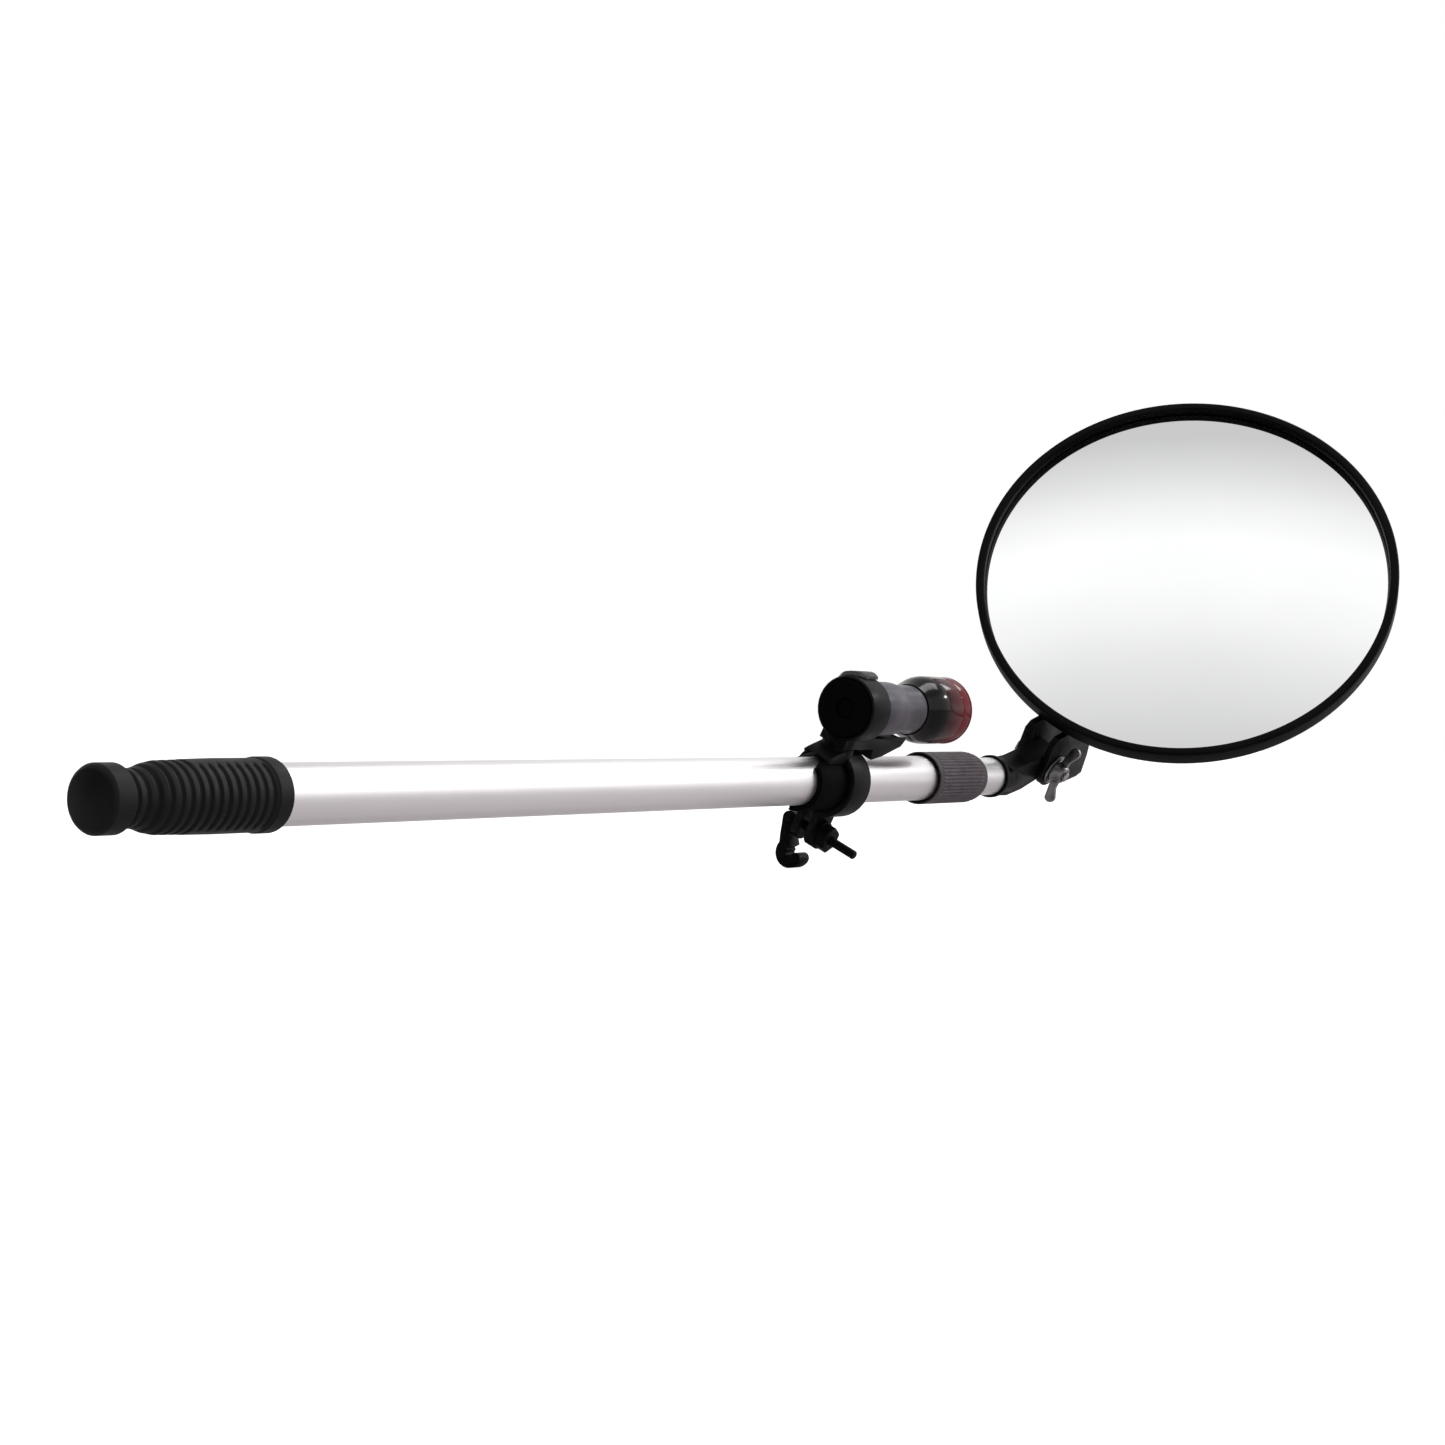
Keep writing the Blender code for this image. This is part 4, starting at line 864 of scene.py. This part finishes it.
buttonSeat, buttonFace = tailFloor + gap, torch["tailEnd"] + 0.6
buttonRadius, buttonSkirt, skirtThick, buttonCrown = 5, 7, 1.5, 1.2
buttonProfile = [
    (0, buttonSeat + skirtThick), (buttonSkirt, buttonSeat + skirtThick), (buttonSkirt, buttonSeat),
    (buttonRadius, buttonSeat), (buttonRadius, buttonFace + buttonCrown),
]
for turn in range(15, 90, 15):
    across, rise = math.cos(math.radians(turn)), 1 - math.sin(math.radians(turn))
    buttonProfile.append((buttonRadius * across, buttonFace + buttonCrown * rise))
buttonProfile.append((0, buttonFace))
tailButton = turnedPiece("tailButton", buttonProfile, torchFrame, shadedRubber, 64, 0.3)
finishPiece(tailButton, "tail_button", "black_rubber", "tail_button")

stubRoom, lensRoom, headStart = slimStub + gap, 16.0, torch["stub"] + gap
headProfile = [
    (torch["head"], torch["headEnd"]), (torch["head"], headStart + 16),
    (torch["head"] - 0.35, headStart + 12.5), (torch["head"] - 1.6, headStart + 8),
    (torch["head"] - 3.4, headStart + 4), (torch["waist"] + 0.9, headStart + 1),
    (torch["waist"] + 0.6, headStart), (stubRoom, headStart), (stubRoom, torch["bodyEnd"] + 1),
    (lensRoom, torch["bodyEnd"] + 3), (lensRoom, torch["headEnd"]),
]
torchHead = turnedPiece("torchHead", headProfile, torchFrame, headGloss, 128, 0.35)
finishPiece(torchHead, "torch_head", "gloss_black", "torch_head")

bezelProfile = tubeProfile(torch["head"] - 0.1, lensRoom, torch["headEnd"] + gap, torch["bezelEnd"])
bezelRing = turnedPiece("bezelRing", bezelProfile, torchFrame, redGloss, 128, 0.3)
finishPiece(bezelRing, "torch_head", "dark_red_plastic", "bezel_ring")

lensRingProfile = [
    (torch["head"] - 2.2, torch["front"]), (torch["head"] - 0.7, torch["front"] - 0.5),
    (torch["head"], torch["front"] - 1.7), (torch["head"], torch["bezelEnd"] + gap),
    (14.5, torch["bezelEnd"] + gap), (14.5, torch["front"]),
]
lensRing = turnedPiece("lensRing", lensRingProfile, torchFrame, redGloss, 128, 0.4)
finishPiece(lensRing, "torch_head", "gloss_black", "lens_ring")

lensBack, lensEdge, lensRadius = torch["bezelEnd"] - 7, torch["bezelEnd"] - 2, lensRoom - gap
lensProfile = [
    (lensRadius * math.sin(math.radians(turn)), lensEdge - 2 + 4 * math.cos(math.radians(turn)))
    for turn in range(0, 91, 6)
]
lensProfile[0] = (0, lensEdge + 2)
lensProfile += [(lensRadius, lensBack), (0, lensBack)]
lens = turnedPiece("torchLens", lensProfile, torchFrame, clearLens, 96)
finishPiece(lens, "torch_head", "clear_lens", "torch_lens")
print("torch made")


# ---- moulded and bought parts that keep the CAD shape, with their corners rounded

softened = [
    # name, node, body, slot, material, corner in mm
    ("knuckleArm", "knuckle", "knuckle", "black_plastic", blackPlastic, 0.5),
    ("pivotBolt", "pivot_bolt", "knuckle", "zinc_plated_steel", zincPlate, 0.2),
    ("pivotWasher", "pivot_washer", "knuckle", "zinc_plated_steel", zincPlate, 0.2),
    ("boltWasher", "bolt_washer", "knuckle", "zinc_plated_steel", zincPlate, 0.2),
    ("wingNut", "wing_nut", "wing_nut", "zinc_plated_steel", zincPlate, 0.4),
    ("mirrorBracket", "mirror_bracket", "mirror", "black_plastic", blackPlastic, 0.4),
    ("bracketScrew1", "bracket_screw_1", "mirror", "zinc_plated_steel", zincPlate, 0.15),
    ("bracketScrew2", "bracket_screw_2", "mirror", "zinc_plated_steel", zincPlate, 0.15),
    ("bracketScrew3", "bracket_screw_3", "mirror", "zinc_plated_steel", zincPlate, 0.15),
    ("clampLiner", "clamp_liner", "clamp_liner", "black_rubber", shadedRubber, 0.4),
    ("poleClamp", "pole_clamp", "pole_clamp", "black_plastic", blackPlastic, 0.4),
    ("clampRod", "clamp_rod", "pole_clamp", "black_plastic", blackPlastic, 0.2),
    ("camPin", "cam_pin", "pole_clamp", "zinc_plated_steel", blackPlastic, 0.15),
    ("adjustingNut", "adjusting_nut", "adjusting_nut", "black_plastic", blackPlastic, 0.3),
    ("camLever", "cam_lever", "cam_lever", "black_plastic", blackPlastic, 0.6),
    ("torchHolder", "torch_holder", "torch", "black_plastic", blackPlastic, 0.4),
    ("holderPad", "holder_pad", "torch", "grey_plastic", greyPlastic, 0.5),
]
for name, node, body, slotName, material, edge in softened:
    finishPiece(softenedCopy(name, node, material, edge), body, slotName, node)

kept = {
    "lock_sleeve": blackPlastic,
    "lock_collet": greyPlastic,
    "guide_bush": greyPlastic,
    "swivel_pin": zincPlate,
    "swivel_screw": zincPlate,
    "torch_liner": shadedRubber,
    "led_pill": turnedBrass,
    "battery_cell": cellWrap,
    "tail_spring": springSteel,
}
for node, material in kept.items():
    for materialSlot in nodes[node].material_slots:
        materialSlot.material = material
print("brackets, clamp and fasteners made")


# ---- studio: pale floor, even light and the camera

studio = {
    "cameraPlace": (-0.6030, -0.6603, 0.0231),
    "cameraTurn": (1.5764, -0.0036, -0.9930),
    "lens": 61.04,
    "sensor": 36.0,
    "floorHalf": 12.0,
    "floorGlow": 0.8,
    "floorShade": (0.6, 0.57, 0.58, 1.0),
    # how bright the ceiling is from the low left, (place, level), to the high right
    "ceiling": [
        (0.05, 0.60), (0.154, 0.68), (0.261, 0.77), (0.373, 0.88), (0.485, 0.955), (0.597, 0.975),
        (0.709, 0.86), (0.822, 0.70), (0.934, 0.57),
    ],
    "ceilingStrength": 1.09,
    "wallFront": 1.4,
    "wallBack": 0.9,
    "wallLeft": 0.03,
    "keyPlace": (1.25, -0.3, 1.2),
    "keySize": (0.5, 0.5),
    "keyWatts": 5.0,
    "sparkPlace": (1.5, -0.75, 0.62),
    "sparkSize": (0.16, 0.05),
    "sparkWatts": 3.0,
}
low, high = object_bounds()
floorMesh = bpy.data.meshes.new("floor")
half = studio["floorHalf"]
corners = [(-half, -half, low.z), (half, -half, low.z), (half, half, low.z), (-half, half, low.z)]
floorMesh.from_pydata(corners, [], [(0, 1, 2, 3)])
floorMaterial, floorTree, floorShader, floorVector = startMaterial("paleFloor")
paleShade = [min(1.0, 1.05 * part) for part in studio["floorShade"]]
floorNoise = noiseNode(floorTree, floorVector, 6.0, 2.0)
floorColour = mixColours(floorTree, floorNoise, studio["floorShade"], paleShade)
floorTree.links.new(floorColour, floorShader.inputs["Base Color"])
floorShader.inputs["Roughness"].default_value = 0.9
floorShader.inputs["Specular IOR Level"].default_value = 0.1
floorPath = floorTree.nodes.new("ShaderNodeLightPath")  # paler to the eye than to the pieces above it
floorGlow = mathNode(floorTree, "MULTIPLY", floorPath.outputs["Is Camera Ray"], studio["floorGlow"])
floorShader.inputs["Emission Color"].default_value = (1.0, 1.0, 1.0, 1.0)
floorTree.links.new(floorGlow, floorShader.inputs["Emission Strength"])
floor = meshObject("floor", floorMesh, floorMaterial)


def buildWorld():
    # white to the eye; the pieces see a softly graded ceiling, bright walls in front and dim ones behind
    world = bpy.data.worlds.new("studioSurround")
    bpy.context.scene.world = world
    world.use_nodes = True
    tree = world.node_tree
    tree.nodes.clear()
    direction = tree.nodes.new("ShaderNodeTexCoord")
    parts = addNode(tree, "ShaderNodeSeparateXYZ", {"Vector": direction.outputs["Generated"]})
    x, y, z = parts.outputs["X"], parts.outputs["Y"], parts.outputs["Z"]
    across = mathNode(tree, "ADD", mathNode(tree, "MULTIPLY", x, 3.28), mathNode(tree, "MULTIPLY", y, 1.118))
    place = rangeNode(tree, across, -2.577, -0.777, 0.0, 1.0)
    ramp = addNode(tree, "ShaderNodeValToRGB", {"Fac": place})
    stops = studio["ceiling"]
    for element, (spot, level) in zip(ramp.color_ramp.elements, (stops[0], stops[-1])):
        element.position = spot
        element.color = (level, level, level, 1.0)
    for spot, level in stops[1:-1]:
        ramp.color_ramp.elements.new(spot).color = (level, level, level, 1.0)
    ceiling = mathNode(tree, "MULTIPLY", ramp.outputs["Color"], studio["ceilingStrength"])
    frontness = rangeNode(tree, y, 0.15, -0.15, studio["wallBack"], studio["wallFront"])
    rightness = rangeNode(tree, x, -0.5, 0.1, studio["wallLeft"], 1.0)
    walls = mathNode(tree, "MULTIPLY", frontness, rightness)
    high = rangeNode(tree, z, 0.5, 0.65, 0.0, 1.0)
    level = mathNode(
        tree, "ADD", mathNode(tree, "MULTIPLY", ceiling, high),
        mathNode(tree, "MULTIPLY", walls, mathNode(tree, "SUBTRACT", 1.0, high)),
    )
    lit = addNode(tree, "ShaderNodeBackground", {"Color": (1.0, 1.0, 1.0, 1.0), "Strength": level})
    seen = addNode(tree, "ShaderNodeBackground", {"Color": (1.0, 1.0, 1.0, 1.0), "Strength": 1.0})
    path = tree.nodes.new("ShaderNodeLightPath")
    mix = addNode(
        tree, "ShaderNodeMixShader",
        {0: path.outputs["Is Camera Ray"], 1: lit.outputs["Background"], 2: seen.outputs["Background"]},
    )
    put = tree.nodes.new("ShaderNodeOutputWorld")
    tree.links.new(mix.outputs["Shader"], put.inputs["Surface"])


def addPanel(name, place, target, size, watts):
    light = bpy.data.lights.new(name, "AREA")
    light.shape = "RECTANGLE"
    light.size, light.size_y = size
    light.energy = watts
    obj = bpy.data.objects.new(name, light)
    bpy.context.scene.collection.objects.link(obj)
    obj.location = place
    obj.rotation_euler = (Vector(target) - Vector(place)).to_track_quat("-Z", "Y").to_euler()
    return obj


buildWorld()
addPanel("keySoft", studio["keyPlace"], (0.3, 0.0, 0.0), studio["keySize"], studio["keyWatts"])
addPanel("sparkStrip", studio["sparkPlace"], (0.56, 0.0, 0.05), studio["sparkSize"], studio["sparkWatts"])

cameraData = bpy.data.cameras.new("studioCamera")
cameraData.lens = studio["lens"]
cameraData.sensor_width = studio["sensor"]
cameraData.clip_start, cameraData.clip_end = 0.01, 60.0
camera = bpy.data.objects.new("studioCamera", cameraData)
camera.location = studio["cameraPlace"]
camera.rotation_euler = studio["cameraTurn"]
bpy.context.scene.collection.objects.link(camera)
bpy.context.scene.camera = camera
bpy.context.scene.view_settings.view_transform = "Standard"
print("studio ready")
